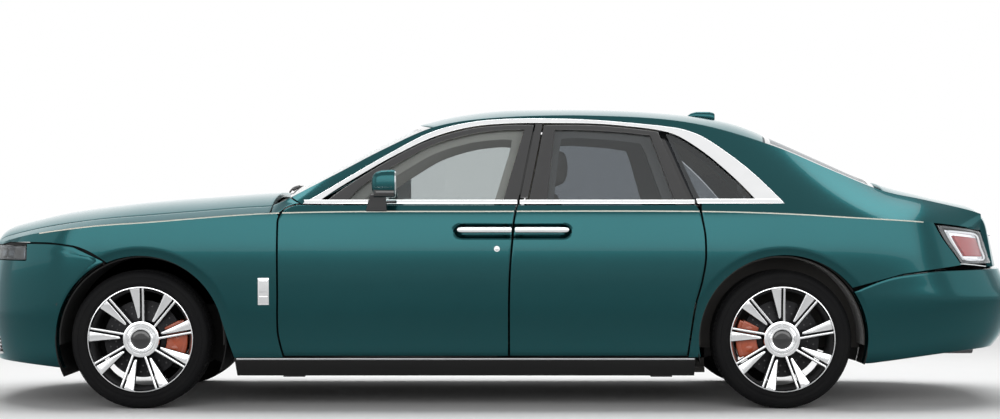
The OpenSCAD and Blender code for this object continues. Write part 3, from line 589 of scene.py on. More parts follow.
def tube(name, path, radius, material, sides=12, turn=None):
    """Round bar along a path of points."""
    p = np.asarray(path, float)
    g = np.gradient(p, axis=0)
    g /= np.linalg.norm(g, axis=1)[:, None]
    up = np.array([0.0, 0, 1]) if abs(g[:, 2]).max() < 0.9 else np.array([0.0, 1, 0])
    a = np.cross(g, up)
    a /= np.linalg.norm(a, axis=1)[:, None]
    b = np.cross(g, a)
    t = around(sides)[None, :, None]
    s = p[:, None] + radius * (a[:, None] * np.cos(t) + b[:, None] * np.sin(t))
    return swept(name, s, [material], None, turn)


# Geometry Nodes for what repeats

def repeat_tree(kind):
    """Tree that repeats the object's mesh in a ring about the cross axis or along a straight step."""
    tree = bpy.data.node_groups.new("repeat_" + kind, "GeometryNodeTree")
    for name, sort in (("Geometry", "Geometry"), ("Count", "Int"), ("Start", "Vector"), ("Step", "Vector"),
                       ("Finish", "Material")):
        tree.interface.new_socket(name, in_out="INPUT", socket_type="NodeSocket" + sort)
    tree.interface.new_socket("Geometry", in_out="OUTPUT", socket_type="NodeSocketGeometry")
    add, link = tree.nodes.new, tree.links.new
    src, out = add("NodeGroupInput"), add("NodeGroupOutput")
    points, inst = add("GeometryNodePoints"), add("GeometryNodeInstanceOnPoints")
    index, scale = add("GeometryNodeInputIndex"), add("ShaderNodeVectorMath")
    real, dress = add("GeometryNodeRealizeInstances"), add("GeometryNodeSetMaterial")
    scale.operation = "SCALE"
    link(src.outputs["Count"], points.inputs["Count"])
    link(src.outputs["Step"], scale.inputs[0])
    link(index.outputs[0], scale.inputs["Scale"])
    if kind == "ring":
        link(src.outputs["Start"], points.inputs["Position"])
        turn = add("FunctionNodeEulerToRotation")
        link(scale.outputs[0], turn.inputs[0])
        link(turn.outputs[0], inst.inputs["Rotation"])
    else:
        shift, place = add("ShaderNodeVectorMath"), add("GeometryNodeSetPosition")
        shift.operation = "ADD"
        link(scale.outputs[0], shift.inputs[0])
        link(src.outputs["Start"], shift.inputs[1])
        link(points.outputs[0], place.inputs["Geometry"])
        link(shift.outputs[0], place.inputs["Position"])
        points = place
    link(points.outputs[0], inst.inputs["Points"])
    link(src.outputs["Geometry"], inst.inputs["Instance"])
    link(inst.outputs[0], real.inputs[0])
    link(real.outputs[0], dress.inputs["Geometry"])
    link(src.outputs["Finish"], dress.inputs["Material"])
    link(dress.outputs[0], out.inputs[0])
    return tree


trees = {}


def repeated(obj, kind, count, step):
    """Repeats obj with Geometry Nodes and keeps the result as its mesh."""
    if kind not in trees:
        trees[kind] = repeat_tree(kind)
    m = obj.modifiers.new("repeat", "NODES")
    m.node_group = trees[kind]
    values = {"Count": count, "Start": (0, 0, 0), "Step": step, "Finish": obj.data.materials[0]}
    for item in trees[kind].interface.items_tree:
        if item.in_out == "INPUT" and item.name in values:
            m[item.identifier] = values[item.name]
    return settle(obj)


def in_ring(obj, count):
    """Repeats obj about the cross axis at the origin."""
    return repeated(obj, "ring", count, (0, 2 * math.pi / count, 0))


def in_line(obj, count, step):
    """Repeats obj along a step in millimetres."""
    return repeated(obj, "line", count, tuple(v * MM for v in step))


# Body sides

surround_out = [(-1017, 1052), (-917, 1111), (-814, 1174), (-551, 1329), (-355, 1430), (-154, 1481),
                (46, 1499), (314, 1500), (524, 1491), (691, 1477), (858, 1460), (958, 1444), (1056, 1407),
                (1185, 1319), (1311, 1215), (1459, 1062)]
surround_in = [(-935, 1062), (-870, 1109), (-790, 1161), (-550, 1303), (-354, 1399), (-154, 1455), (46, 1474),
               (314, 1476), (523, 1472), (691, 1457), (823, 1440), (922, 1413), (1040, 1337), (1140, 1254),
               (1230, 1168), (1310, 1080)]
rail_places = [(-1075,), (-985,), (-890,), (-640,), (-420,), (-190,), (46,), (314,), (540,), (720,), (900,),
               (1030,), (1170,), (1330,), (1480,), (1640,)]


def surround_lines(n):
    """Outer edge, inner edge and rail places of the side windows, at n even places."""
    out, at, _ = resample(surround_out, n, 26)
    return out, resample(surround_in, n, 26, at)[0], resample(rail_places, n, 40, at)[0][:, 0]


POSTS = {
    "centre_post": ((46, -38, 52), ((262, 20, 112), (600, 20, 112), (950, 40, 112), (1052, 62, 108),
                                    (1100, 76, 52), (1250, 118, 52), (1400, 158, 52), (1480, 178, 50))),
    "rear_post": ((34, -34, 40), ((1040, 1014, 42), (1180, 952, 42), (1320, 895, 42), (1436, 850, 44)))}
lamp_x = 2236


def rail_and_wing_top(side, turn):
    """Rail over the doors, and the rear wing above the shoulder with the places of its rows."""
    k = 14
    out, _, rx = surround_lines(150)
    top = rail(rx)
    seam_x, foot = rx[-1], out[-1]
    rows = np.array([on_flank(mix(out, top[:, ::2], j / (k - 1)), 0) for j in range(k)])
    rows[-1] = top
    back = rows + np.array([0, 16, -9])
    back[0] = on_flank(out, 12)
    xs = np.concatenate([np.linspace(1036, foot[0], 44)[:-1], np.linspace(foot[0], seam_x, k),
                         np.linspace(seam_x, 2524, 84)[1:]])
    t_seam = np.clip((xs - foot[0]) / (seam_x - foot[0]), 0, 1)
    high = np.where(xs < foot[0], 1051 + (foot[1] - 1051) * np.clip((xs - foot[0] + 60) / 60, 0, 1),
                    np.where(xs > seam_x, rail_z(xs), mix(foot[1], rail_z(seam_x), t_seam)))
    t = np.linspace(0, 1, 16)[:, None]
    z = mix(shoulder_z(xs), high, t)
    wing = on_flank(np.stack([xs + 0 * z, z], -1), 0)
    t_in = np.clip((xs - 1400) / 67, 0, 1)
    inside = wing + np.array([0, 38, -6])
    inside[..., 1] -= 33 * np.maximum(t, np.clip((xs - 2340) / 90, 0, 1)) * t_in
    inside[..., 2] -= 22 * t * t_in
    return [shell(f"rail_{side}", rows, back, ["body_paint"], turn, 0),
            shell(f"wing_top_{side}", wing, inside, ["body_paint"], turn, 0)], xs


def wing_side(side, turn, xs):
    """Rear wing below the shoulder, from its arch to the door, the shoulder and the lamp."""
    zs = np.linspace(sill_z, 940, 60)
    low = np.stack([line_c(zs) + gap / 2, zs], -1)
    sx = np.concatenate([xs[xs < lamp_x], [lamp_x]])
    crest = np.stack([sx, shoulder_z(sx)], -1)
    lamp = resample([(lamp_x, shoulder_z(lamp_x)), (2262, 905), (2292, 860), (2348, 790), (2388, 736)], 24)[0]
    edge = np.concatenate([low, crest, lamp[1:]])
    m = len(edge)
    f = np.interp(np.arange(m), [0, len(low) - 1, len(low) + len(crest) - 1, m - 1], [0, 7 / 21, 17 / 21, 1])
    ang = np.radians(mix(192, 37, f))
    r = arch_radius + 14 * f ** 3
    arch = np.stack([rear_axle + r * np.cos(ang), np.maximum(sill_z, axle_z + r * np.sin(ang))], -1)
    mid = mix(arch, edge, 0.45)
    mid[:, 1] += 20 * np.maximum(0, (f * 21 - 15) / 6) ** 2
    flat = between([arch, mid, edge], [16, 18])
    return side_sheet(f"wing_side_{side}", flat, 0, wing_wall, ["body_paint", "under_seal"], turn, 0)


def posts(side, turn):
    """Dark posts between the doors and behind them, and a cover over the middle one."""
    parts = []
    for name, ((a, b, w), table) in POSTS.items():
        sec = [[on_flank(np.array([x + e, z]), d + k) for e, k in ((a, 0), (b, 0), (b, w), (a, w))]
               for z, x, d in table]
        parts.append(swept(f"{name}_{side}", sec, ["gloss_black"], None, turn, 5))
    z = np.linspace(1082, 1472, 24)
    ahead = np.interp(z, (1036, 1190, 1340, 1465), (86, 119, 151, 178)) + 7
    behind = np.interp(z, (1036, 1180, 1320, 1463), (140, 172, 201, 229)) - 7
    flat = between([np.stack([ahead, z], -1), np.stack([behind, z], -1)], [4])
    return parts + [side_sheet(f"post_cover_{side}", flat, 5, 60, ["gloss_black"], turn)]


def make_side_frame():
    """Rear wings with the rear pillar and the rail over the doors, one smooth skin for each side."""
    parts = []
    for side, turn in SIDES:
        tops, xs = rail_and_wing_top(side, turn)
        parts += [*tops, wing_side(side, turn, xs), *posts(side, turn)]
    on(joined("side_frame", parts), "body", "cabin_frame", "quarter_left", "quarter_right")


def door_grid(first, last, d, inset, pocket=True):
    """Rows of points over a door between two shut lines, closer together round the handle's pocket."""
    lo, hi = first(1012) + gap / 2, last(1012) - gap / 2
    u = np.linspace(0, 1, 96)
    heights = np.concatenate([np.linspace(0, 0.74, 22)[:-1], np.linspace(0.74, 1, 34)])
    crest = shoulder_z(mix(lo, hi, u))
    rows = [mix(door_low, crest, t) for t in heights]
    rows += [mix(crest, belt, t) for t in np.linspace(0, 1, 9)[1:]]
    grid = []
    for z in rows:
        x = mix(first(z) + gap / 2 + inset, last(z) - gap / 2 - inset, u)
        grid.append(on_flank(np.stack([x, z], -1), d + (handle_pocket(x, z) if pocket else 0)))
    return np.array(grid)


# Outer line, inner line and corners of the window frames

FRAMES = {
    "front": ([(-930, 1036), (-790, 1144), (-550, 1293), (-354, 1389), (-154, 1445), (46, 1465), (178, 1465),
               (151, 1340), (119, 1190), (86, 1036)],
              [(-815, 1036), (-696, 1156), (-518, 1268), (-354, 1357), (-156, 1415), (0, 1437), (127, 1441),
               (97, 1340), (52, 1190), (7, 1036)], [6]),
    "rear": ([(140, 1036), (172, 1180), (201, 1320), (229, 1463), (330, 1466), (523, 1462), (691, 1447),
              (826, 1430), (870, 1320), (927, 1180), (986, 1036)],
             [(236, 1036), (253.5, 1180), (270, 1320), (285, 1440), (400, 1440), (523, 1434), (660, 1424),
              (783, 1411), (813, 1320), (860, 1180), (908, 1036)], [3, 7])}


def frame_line(points, corners, n=14):
    """Smooth between the corners of a window frame, square at the corners."""
    p = np.array(points, float)
    cuts = [0, *corners, len(p) - 1]
    runs = [resample(p[a:b + 1], n * (b - a) // 2 + 2)[0] for a, b in zip(cuts[:-1], cuts[1:])]
    return np.concatenate([runs[0]] + [r[1:] for r in runs[1:]])


def make_doors():
    """Four doors, each a painted skin with a trimmed inside and a black window frame."""
    for end, first, last in (("front", line_a, line_b), ("rear", line_b, line_c)):
        outer, inner = door_grid(first, last, 0, 0), door_grid(first, last, 95, 22, False)
        out, inn, corners = FRAMES[end]
        flat = between([frame_line(inn, corners), frame_line(out, corners)], [3])
        for side, turn in SIDES:
            name = f"door_{end}_{side}"
            skin = shell(name + "_skin", outer, inner, ["body_paint", "seat_leather"], turn, 3.5)
            window = side_sheet(name + "_frame", flat, 3, 36, ["gloss_black"], turn)
            on(joined(name + "_panel", [skin, window]), name, name)


bonnet_c = [(-2727, 850), (-2718, 876), (-2701, 900), (-2667, 926), (-2612, 945), (-2556, 959), (-2334, 1009),
            (-2001, 1054), (-1778, 1076), (-1556, 1092), (-1334, 1109), (-1182, 1117)]
bonnet_ex = [-2675, -2664, -2646, -2612, -2555, -2500, -2290, -1985, -1770, -1556, -1334, -1182]
tip_low = smooth_line([(-1182, 1003), (-1145, 1006), (-1127, 1013), (-1103, 1034), (-1068, 1049),
                       (-1030, 1056)])


def bonnet_lines(n):
    """Centre line of the bonnet and a function for any line beside it."""
    c, at, q = resample(bonnet_c, n, 16)
    ex = smooth_line(list(zip(at, bonnet_ex)), 16)(q)
    i = np.interp(q, at, np.arange(len(at)))

    def beside(v=None):
        x = ex + 35 * np.maximum(0, 1 - i / 6)
        z = shoulder_z(x)
        v = 0.868 - gap / half(x, z) if v is None else v
        return np.stack([mix(ex, x, np.maximum(0, (v - 0.865) / 0.135)), v * half(x, z),
                         c[:, 1] - (c[:, 1] - z) * v ** 2.6], -1)
    return c, beside


front_top = smooth_line([(-2773, 838), (-2560, 843), (-2373, 845), (-2260, 840), (-2163, 823), (-2085, 790),
                         (-2013, 742)])


def make_front_panels():
    """Bonnet and the two front wings."""
    c, beside = bonnet_lines(90)
    e = beside()
    lid = shell("bonnet_skin", crown(c, e, 72, 3, 2.6, 0), crown(c, e, 72, 3, 2.6, 28),
                ["body_paint", "under_seal"], None, 3.5)
    on(lid, "bonnet", "bonnet")
    xs = np.linspace(-2540, -1147, 130)
    zs = np.linspace(990, sill_z, 70)
    edge = np.concatenate([[(-2560, 853)], np.stack([xs, shoulder_z(xs)], -1),
                           np.stack([line_a(zs) - gap / 2, zs], -1)])
    m = len(edge)
    f = np.interp(np.arange(m), [0, 1, 131, m - 1], [0, 1, 11.4, 17])
    ang = np.radians(mix(113, 14, np.minimum(f / 15, 1)))
    arch = np.stack([front_axle + arch_radius * np.cos(ang), axle_z + arch_radius * np.sin(ang)], -1)
    low = f > 15
    arch[low] = np.stack([np.interp(f[low], [15, 16, 17], [arch[~low][-1, 0], -1395, -1362]),
                          np.interp(f[low], [15, 16, 17], [arch[~low][-1, 1], 360, sill_z])], -1)
    mid = mix(arch, edge, 0.42)
    flat = between([arch, mid, edge], [16, 20])
    seam = front_top(flat[:, :1, 0]) + 10
    flat[..., 1] += (seam - flat[:, :1, 1]) * np.maximum(0, 1 - f / 4) ** 2
    rows = np.array([beside(1 - 0.132 * j / 9) for j in range(10)]) * (1, -1, 1)
    under = rows + np.array([0, 0, -12])
    under[..., 2] -= 16 * np.clip((rows[..., 0] + 2480) / 180, 0, 1)
    lx, tx = np.linspace(-1173, -1032, 30), np.linspace(-1173, -1086, 30)
    foot = on_flank(np.stack([lx, tip_low(lx)], -1), 0)
    tip = np.array([mix(foot, rail(tx), j / 8) for j in range(9)])
    for side, turn in SIDES:
        parts = [side_sheet(f"wing_panel_{side}", flat, 0, wing_wall, ["body_paint", "under_seal"], turn, 0),
                 shell(f"wing_crest_{side}", rows, under, ["body_paint"], turn, 2.5),
                 shell(f"wing_tip_{side}", tip, tip + np.array([0, 28, -1]), ["body_paint"], turn, 2)]
        on(joined(f"front_wing_{side}", parts), "body", f"fender_{side}")


roof_c = [(-440, 1484), (-333, 1513), (-222, 1537), (0, 1564), (333, 1571), (667, 1565), (1000, 1541),
          (1223, 1507), (1335, 1474), (1418, 1438)]
roof_x = [-345, -262, -165, 35, 345, 667, 985, 1190, 1295, 1380]
lid_c = [(2024, 1171), (2112, 1142), (2223, 1115), (2334, 1087), (2445, 1065), (2530, 1045), (2575, 1022),
         (2603, 996), (2623, 962), (2645, 892), (2667, 804), (2687, 722)]
lid_e = [(2008, 728, 1112), (2095, 726, 1092), (2205, 720, 1069), (2310, 708, 1046), (2412, 693, 1022),
         (2487, 676, 1001), (2520, 666, 984), (2540, 656, 964), (2553, 646, 938), (2568, 634, 880),
         (2585, 622, 800), (2601, 610, 722)]


def beside_rail(x, inset, drop=0.0):
    """Points inside the edge of the roof, right side."""
    r = rail(x)
    return np.stack([r[:, 0], -r[:, 1] - inset, r[:, 2] - drop], -1)


def make_roof_and_boot():
    """Roof panel with its lining and the boot lid."""
    c, at, _ = resample(roof_c, 72, 40)
    x = resample([(v,) for v in roof_x], 72, 40, at)[0][:, 0]
    e = beside_rail(x, 21, 0.5)
    on(shell("roof_skin", crown(c, e, 72, 2.4, 2.3, 0), crown(c, e, 72, 2.4, 2.3, 22),
             ["body_paint", "headlining"], None, 3), "body", "roof_panel")
    c, at, _ = resample(lid_c, 84, 10)
    e = resample(lid_e, 84, 10, at)[0]
    on(shell("boot_skin", crown(c, e, 72, 2.6, 2.6, 0), crown(c, e, 72, 2.6, 2.6, 34),
             ["body_paint", "carpet"], None, 3.5), "boot_lid", "boot_lid")


front_low = smooth_line([(-2773, 236), (-2500, 226), (-2250, 206)])
rear_top = smooth_line([(1806, 601), (1864, 622), (2051, 674), (2260, 700), (2400, 708), (2773, 710)])
rear_low = smooth_line([(1905, 232), (2330, 286), (2600, 300), (2773, 302)])


def bumper(d, end, rows=36, cols=160):
    """Grid over a bumper, a distance d behind its skin, from arch to arch."""
    top, low = (front_top, front_low) if end < 0 else (rear_top, rear_low)
    axle, x0 = (front_axle, nose_start) if end < 0 else (rear_axle, tail_start)
    s = np.linspace(-1, 1, cols)

    def at(z):
        xe = nose_x(z) if end < 0 else tail_x(z)
        reach = np.sqrt(np.maximum(0, (arch_radius + 8) ** 2 - (z - axle_z) ** 2))
        return ring(np.sign(s) * (abs(s) * ring_angle(axle + end * reach, x0, xe) + 1e-6), z, d, end)
    zt = np.full(cols, 741.0 if end < 0 else 620.0)
    for step in ([0.5] * 30 if end < 0 else [1]):
        zt = mix(zt, top(at(zt)[:, 0]), step)
    zb = low(at(np.full(cols, 240.0))[:, 0])
    return np.array([at(mix(zb, zt, j / (rows - 1))) for j in range(rows)])


def cut(obj, cutters):
    """Takes the cutters out of obj."""
    for c in cutters:
        m = obj.modifiers.new("cut", "BOOLEAN")
        m.operation, m.solver, m.object = "DIFFERENCE", "EXACT", c
    settle(obj)
    for c in cutters:
        bpy.data.objects.remove(c)
    return obj


def bumper_skin(label, end):
    """Closed wall of a whole bumper."""
    return shell(f"{label}_bumper_skin", bumper(0, end), bumper(36, end), ["body_paint", "under_seal"])


def make_bumpers():
    """Front bumper with its openings and the rear bumper."""
    front = bumper_skin("front", -1)
    cutters = [bar("cutter", (-2850, y0, z0), (x1, y1, z1), "under_seal", width, segments)
               for x1, y0, y1, z0, z1, width, segments in (
                   (-2450, -470, 470, 398, 1000, 14, 3), (-2450, -640, 640, 262, 360, 20, 4),
                   (-2449, -890, -495, 757, 957, 10, 3), (-2449, 495, 890, 757, 957, 10, 3))]
    on(cut(front, cutters), "body", "front_bumper")
    x = np.linspace(-2440, -2030, 60)
    flat = between([np.stack([x, front_top(x) + d], -1) for d in (-20, 30)], [4])
    for side, turn in SIDES:
        on(side_sheet(f"wing_seal_{side}", flat, 38, 46, ["seal_rubber"], turn, 2), "body")
    on(bumper_skin("rear", 1), "body", "rear_bumper")


# Glass

screen_c = [(-1135, 1120), (-1000, 1192), (-861, 1269), (-722, 1345), (-583, 1415), (-452, 1478)]
screen_x = [-1078, -932, -785, -640, -497, -358]
back_c = [(1430, 1432), (1545, 1381), (1660, 1329), (1775, 1277), (1888, 1225), (1995, 1181)]
back_x = [1392, 1505, 1620, 1735, 1850, 1958]


WINDOWS = (
    ("front", (-796, 8), [(-790, 1058), (-694, 1154), (-517, 1266), (-353, 1355), (-156, 1413), (0, 1435),
                          (124, 1439)], "side_glass"),
    ("rear", (239, 901), [(287, 1438), (400, 1438), (523, 1432), (660, 1422), (780, 1409)], "rear_glass"))


def screen_lines(centre, edge_x, n):
    """Centre line and edge line of the windscreen or rear window."""
    c, at, _ = resample(centre, n, 30)
    return c, beside_rail(resample([(v,) for v in edge_x], n, 30, at)[0][:, 0], 22)


def make_glazing():
    """Windscreen, rear window, quarter panes and the four door windows."""
    panes = []
    n, m, band = 60, 80, 3
    for name, cl, ex, depth, tint in (("windscreen", screen_c, screen_x, 6, "screen_glass"),
                                      ("rear_window", back_c, back_x, 5, "rear_glass")):
        c, e = screen_lines(cl, ex, n)
        verts = np.concatenate([crown(c, e, m, 2, 2.2, d).reshape(-1, 3) for d in (0, depth)])
        faces, tags = shell_faces(n, m)
        row, col = np.divmod(faces.min(1) % (n * m), m)
        rim = (row < band) | (row > n - 2 - band) | (col < band) | (col > m - 2 - band) | (tags == 2)
        panes.append(piece(name, verts, faces, [tint, "gloss_black"], rim.astype(int)))
    top = [(866, 1420), (921, 1408), (1037, 1332), (1137, 1249), (1226, 1163), (1300, 1087)]
    flat = between([straight((998, 1081), (1302, 1081), 30), resample(top, 30, 12)[0]], [14])
    for side, turn in SIDES:
        panes.append(side_sheet(f"quarter_pane_{side}", flat, 14, 19, ["rear_glass"], turn, 0))
    on(joined("fixed_panes", panes), "body", "fixed_glass")
    for end, (x0, x1), line, tint in WINDOWS:
        flat = between([straight((x0, 1047), (x1, 1047), 40), resample(line, 40)[0]], [20])
        for side, turn in SIDES:
            on(side_sheet(f"window_{end}_{side}", flat, 14, 19, [tint], turn, 0),
               f"door_{end}_{side}", f"glass_{end}_{side}")


# Brightwork

def make_brightwork():
    """Chrome round the side windows."""
    parts = []
    out, inn, _ = surround_lines(150)
    flat = between([inn, out], [6])
    foot = patch((1014, 1464, 1054), (1006, 1440, 1078), 24, 3)
    for side, turn in SIDES:
        parts += [side_sheet(f"window_hoop_{side}", flat, 0, 8, ["bright_metal"], turn, 2.5),
                  side_sheet(f"quarter_strip_{side}", foot, -2, 8, ["bright_metal"], turn)]
    on(joined("window_brightwork", parts), "body", "window_surround")


# Wheels and brakes

def moved(obj, place):
    """Moves an object's mesh by millimetres."""
    obj.data.transform(Matrix.Translation(Vector(place) * MM))
    return obj


def spoke_outline(kind, grow):
    """Outline of a blade or a rib in the wheel's face: (across, radius) pairs."""
    if kind == "rib":
        return [(5 - grow, 84), (17 + grow, 78), (16 + grow, 264), (5 - grow, 264)]
    tip = [(-12.5 - (7.5 + grow) * math.sin(a), 121 - 15 * math.cos(a))
           for a in np.linspace(-math.pi / 2, math.pi / 2, 9)]
    return tip + [(-38 - grow, 190), (-57 - grow, 259), (-57 - grow, 264), (-5 + grow, 264)]


def spoke(name, kind, low, high, material, out, grow):
    """One blade or rib on the axle's centre, from low up to its dished face."""
    line = spoke_outline(kind, grow)
    fine = []
    for a, b in zip(line, line[1:] + line[:1]):
        n = max(1, int(math.dist(a, b) / 22))
        fine += [(mix(a[0], b[0], k / n), mix(a[1], b[1], k / n)) for k in range(n)]
    k = len(fine)
    verts = [(x, out * (y + 15 * ((r - 90) / 175) ** 2), r) for y in (low, high) for x, r in fine]
    faces = [tuple(range(k)), tuple(range(k, 2 * k))]
    faces += [(i, (i + 1) % k, k + (i + 1) % k, k + i) for i in range(k)]
    return rounded(piece(name, verts, faces, [material]), 2.5, 3, 40)


# Kind, depths of its back and face, finish, and how far it is wider than its outline
SPOKES = (("blade", 66, 92, "gloss_black", 1.6), ("rib", 60, 92, "gloss_black", 1.6),
          ("blade", 88, 95, "polished_alloy", 0), ("rib", 88, 95, "polished_alloy", 0))
VENT = [(0.4, 25.5), (4.5, 25.5), (4.5, 24)]
# Profile, finish, sides, place and count of what repeats round the axle
STUDS = {
    "nut": ([(0.5, 99), (5.5, 99), (7, 97), (7, 84)], "bright_metal", 6, (0, 0, 79), 5),
    "vent": (VENT, "gloss_black", 8, (12, 0, 172), 30),
    "vent_in": (VENT, "gloss_black", 8, (0, 0, 140), 30)}
# Profile, finishes, finish of each ring, sides, and whether the profile closes
TURNED = {
    "rim": ([(270, -121), (258, -118), (250, -100), (247, 60), (250, 88), (259, 104), (262, 111), (263, 117),
             (266, 121.5), (270, 121), (271, 112), (270, 0)],
            ["moulded_plastic", "polished_alloy"], [0] * 5 + [1] * 5 + [0] * 2, 160, True),
    "hub": ([(33, 60), (60, 64), (92, 80), (95, 90), (92, 96), (86, 98), (74, 97), (69, 92), (66, 92),
             (64, 97), (62, 101), (57, 103.5), (51, 102), (48, 97)],
            ["polished_alloy", "bright_metal"], [0] * 8 + [1] * 5, 96, False),
    "cap": ([(48.5, 95), (47, 99), (44, 101), (30, 102.5), (0.3, 103)], ["gloss_black"], None, 64, False),
    # The disc's finish is darkened with painted shade for the shadow inside the wheel
    "disc": ([(54, -9), (199, -9), (200, -7), (200, 23), (199, 25), (102, 25), (95, 28), (90, 44), (54, 44)],
             ["disc_iron"], None, 128, True)}


def make_wheels():
    """Four wheels: polished blades and ribs, dark barrel, hub, brake disc and treaded tyre."""
    s = settings()
    for end, x in (("front", front_axle), ("rear", rear_axle)):
        for side, out in SIDES:
            name = f"{end}_{side}"
            place = (x, out * wheel_plane, axle_z)
            parts = []
            for kind, low, high, material, grow in SPOKES:
                arm = spoke(f"{kind}_{name}", kind, low, high, material, out, grow)
                parts.append(in_ring(arm, s.spoke_count))
            for kind, (profile, material, steps, at, count) in STUDS.items():
                stud = lathe(f"{kind}_{name}", profile, [material], None, steps, out=out)
                parts.append(in_ring(moved(stud, at), count))
            for kind, (profile, *look, closed) in TURNED.items():
                parts.append(lathe(f"{kind}_{name}", profile, *look, out=out, closed=closed))
            on(moved(joined(f"wheel_{name}_rim", parts), place), f"wheel_{name}", f"wheel_{name}")
            on(moved(make_tyre(name, out, s.tread_count), place), f"wheel_{name}", f"tyre_{name}")


def make_tyre(name, out, count):
    """Tyre on the axle's centre with moulded sidewall rings and repeated tread blocks."""
    w = 127.5
    wall = [(269, w - 16), (276, w - 8), (284, w - 3), (289, w + 0.4), (293, w + 0.4), (296, w - 1.5),
            (306, w - 0.8), (316, w - 0.2), (317, w - 1.6), (319, w - 1.6), (320, w - 0.4), (328, w - 1.8),
            (336, w - 5), (343, w - 11), (348.5, w - 20), (349, w - 30), (349, 62), (342, 60), (342, 50),
            (350, 48), (350, 14), (342.5, 12), (342.5, 3)]
    parts = [lathe(f"carcass_{name}", wall + [(r, -y) for r, y in reversed(wall)], ["tyre_rubber"], None, 144,
                   out=out, closed=True)]
    pitch = 2 * math.pi / count
    rows = [((346, y0), (355.6, y0), (355.6, y1), (346, y1), lean) for y0, y1, lean in
            ((w - 34, 64, 0.02), (46, 16, -0.03), (-16, -46, -0.03), (-64, 34 - w, 0.02))]
    rows += [((349, w - 21), (353.5, w - 28), (354, w - 34), (345, w - 34), 0),
             ((345, 34 - w), (354, 34 - w), (353.5, 28 - w), (349, 21 - w), 0)]
    for *profile, lean in rows:
        verts = [(r * math.sin(q), out * y, r * math.cos(q)) for t in (-0.41 * pitch, 0.41 * pitch)
                 for (r, y), q in zip(profile, (t + lean, t + lean, t - lean, t - lean))]
        parts.append(in_ring(piece(f"tread_{name}", verts, BOX_FACES, ["tyre_rubber"]), count))
    return joined(f"tyre_{name}_tread", parts)


def caliper(name, side, out):
    """Brake caliper on the axle's centre: side 1 behind the hub, side -1 in front of it."""
    def arc(label, r0, r1, y0, y1, a, width):
        sec = []
        for t in np.radians(np.linspace(-a, a, 20)):
            sec.append([(side * r * math.cos(t), out * y, r * math.sin(t)) for r, y in
                        ((r0, y0), (r1, y0), (r1, y1), (r0, y1))])
        return swept(f"{label}_{name}", sec, ["caliper_paint"], None, None, width)
    parts = [arc("arm_out", 126, 214, 31, 52, 27, 6), arc("arm_in", 126, 214, -36, -15, 27, 6),
             arc("bridge", 208, 234, -36, 52, 25, 5)]
    for t in (-17, 0, 17):
        a = math.radians(t)
        dome = lathe(f"piston_{name}", [(0.4, 55), (14, 54.5), (19, 52), (20, 45)], ["caliper_paint"],
                     steps=28, out=out)
        parts.append(moved(dome, (side * 172 * math.cos(a), 0, 172 * math.sin(a))))
    return joined(f"caliper_{name}", parts)


def make_brakes():
    """Steering knuckles, rear axle and their brake calipers."""
    pivot = wheel_plane - 50
    stub = (20, 50, 80, 110)
    for side, out in SIDES:
        y0, y1 = (-43, -15) if out < 0 else (15, 43)
        parts = [bar(f"upright_{side}", (-42, -30, -62), (42, 30, 62), "cast_metal", 8, 3),
                 tube(f"eye_{side}", [(0, 0, z) for z in (-62, -20, 20, 62)], 36, "cast_metal", 40),
                 tube(f"stub_{side}", [(0, out * y, 0) for y in stub], 32, "cast_metal", 40),
                 bar(f"brake_arm_{side}", (20, y0, -32), (150, y1, 32), "cast_metal", 5, 2)]
        casting = moved(joined(f"knuckle_{side}_casting", parts), (front_axle, out * pivot, axle_z))
        on(casting, f"knuckle_{side}", f"knuckle_{side}")
        front, rear = ((x, out * wheel_plane, axle_z) for x in (front_axle, rear_axle))
        on(moved(caliper(f"front_{side}", 1, out), front), f"knuckle_{side}")
        on(moved(caliper(f"rear_{side}", -1, out), rear), "body", "rear_axle")
    beam = [bar("rear_beam", (rear_axle - 60, -480, 300), (rear_axle + 60, 480, 370), "cast_metal", 16, 3)]
    hub = np.array([rear_axle, -pivot, axle_z])
    for side, turn in SIDES:
        for label, lo, hi in (("arm", (-42, -30, -56), (42, 310, 14)),
                              ("upright", (-42, -30, -56), (42, 30, 56)),
                              ("bracket", (-150, -33, -32), (-20, -15, 32))):
            beam.append(bar(f"rear_{label}_{side}", hub + lo, hub + hi, "cast_metal", 6, 2, turn))
        path = [hub + (0, -y, 0) for y in stub]
        beam.append(tube(f"rear_stub_{side}", path, 32, "cast_metal", 40, turn))
    on(joined("rear_axle_beam", beam), "body", "rear_axle")


def make_liners():
    """Dark liners in the wheel arches, down to a flap in front of each wheel."""
    reach = arch_radius + 5
    for label, x, y_out, y_in, a0, a1 in (("front", front_axle, -938, -505, 206, -22),
                                          ("rear", rear_axle, -956, -690, 196, -17)):
        a = np.radians(np.linspace(a0, a1, 80))
        arc = np.stack([np.cos(a), 0 * a, np.sin(a)], -1)
        tunnel = [np.array([arc * r + (x, y, axle_z) for y in np.linspace(y_out, y_in, 10)])
                  for r in (reach, reach * 1.012)]
        fan = np.array([arc * r + (x, y_in, axle_z) for r in np.linspace(120, reach, 6)])
        for side, turn in SIDES:
            skin = shell(f"liner_skin_{label}_{side}", *tunnel, ["seal_rubber"], turn)
            wall = shell(f"liner_wall_{label}_{side}", fan, fan + np.array([0, 4, 0]), ["seal_rubber"], turn)
            on(joined(f"arch_liner_{label}_{side}", [skin, wall]), "body")


LOCK = [(0.3, 2.2), (8, 2.0), (9.5, 0.9), (11, 0.9), (12.5, 2.6), (15, 2.6), (16.5, 0), (16.5, -6)]


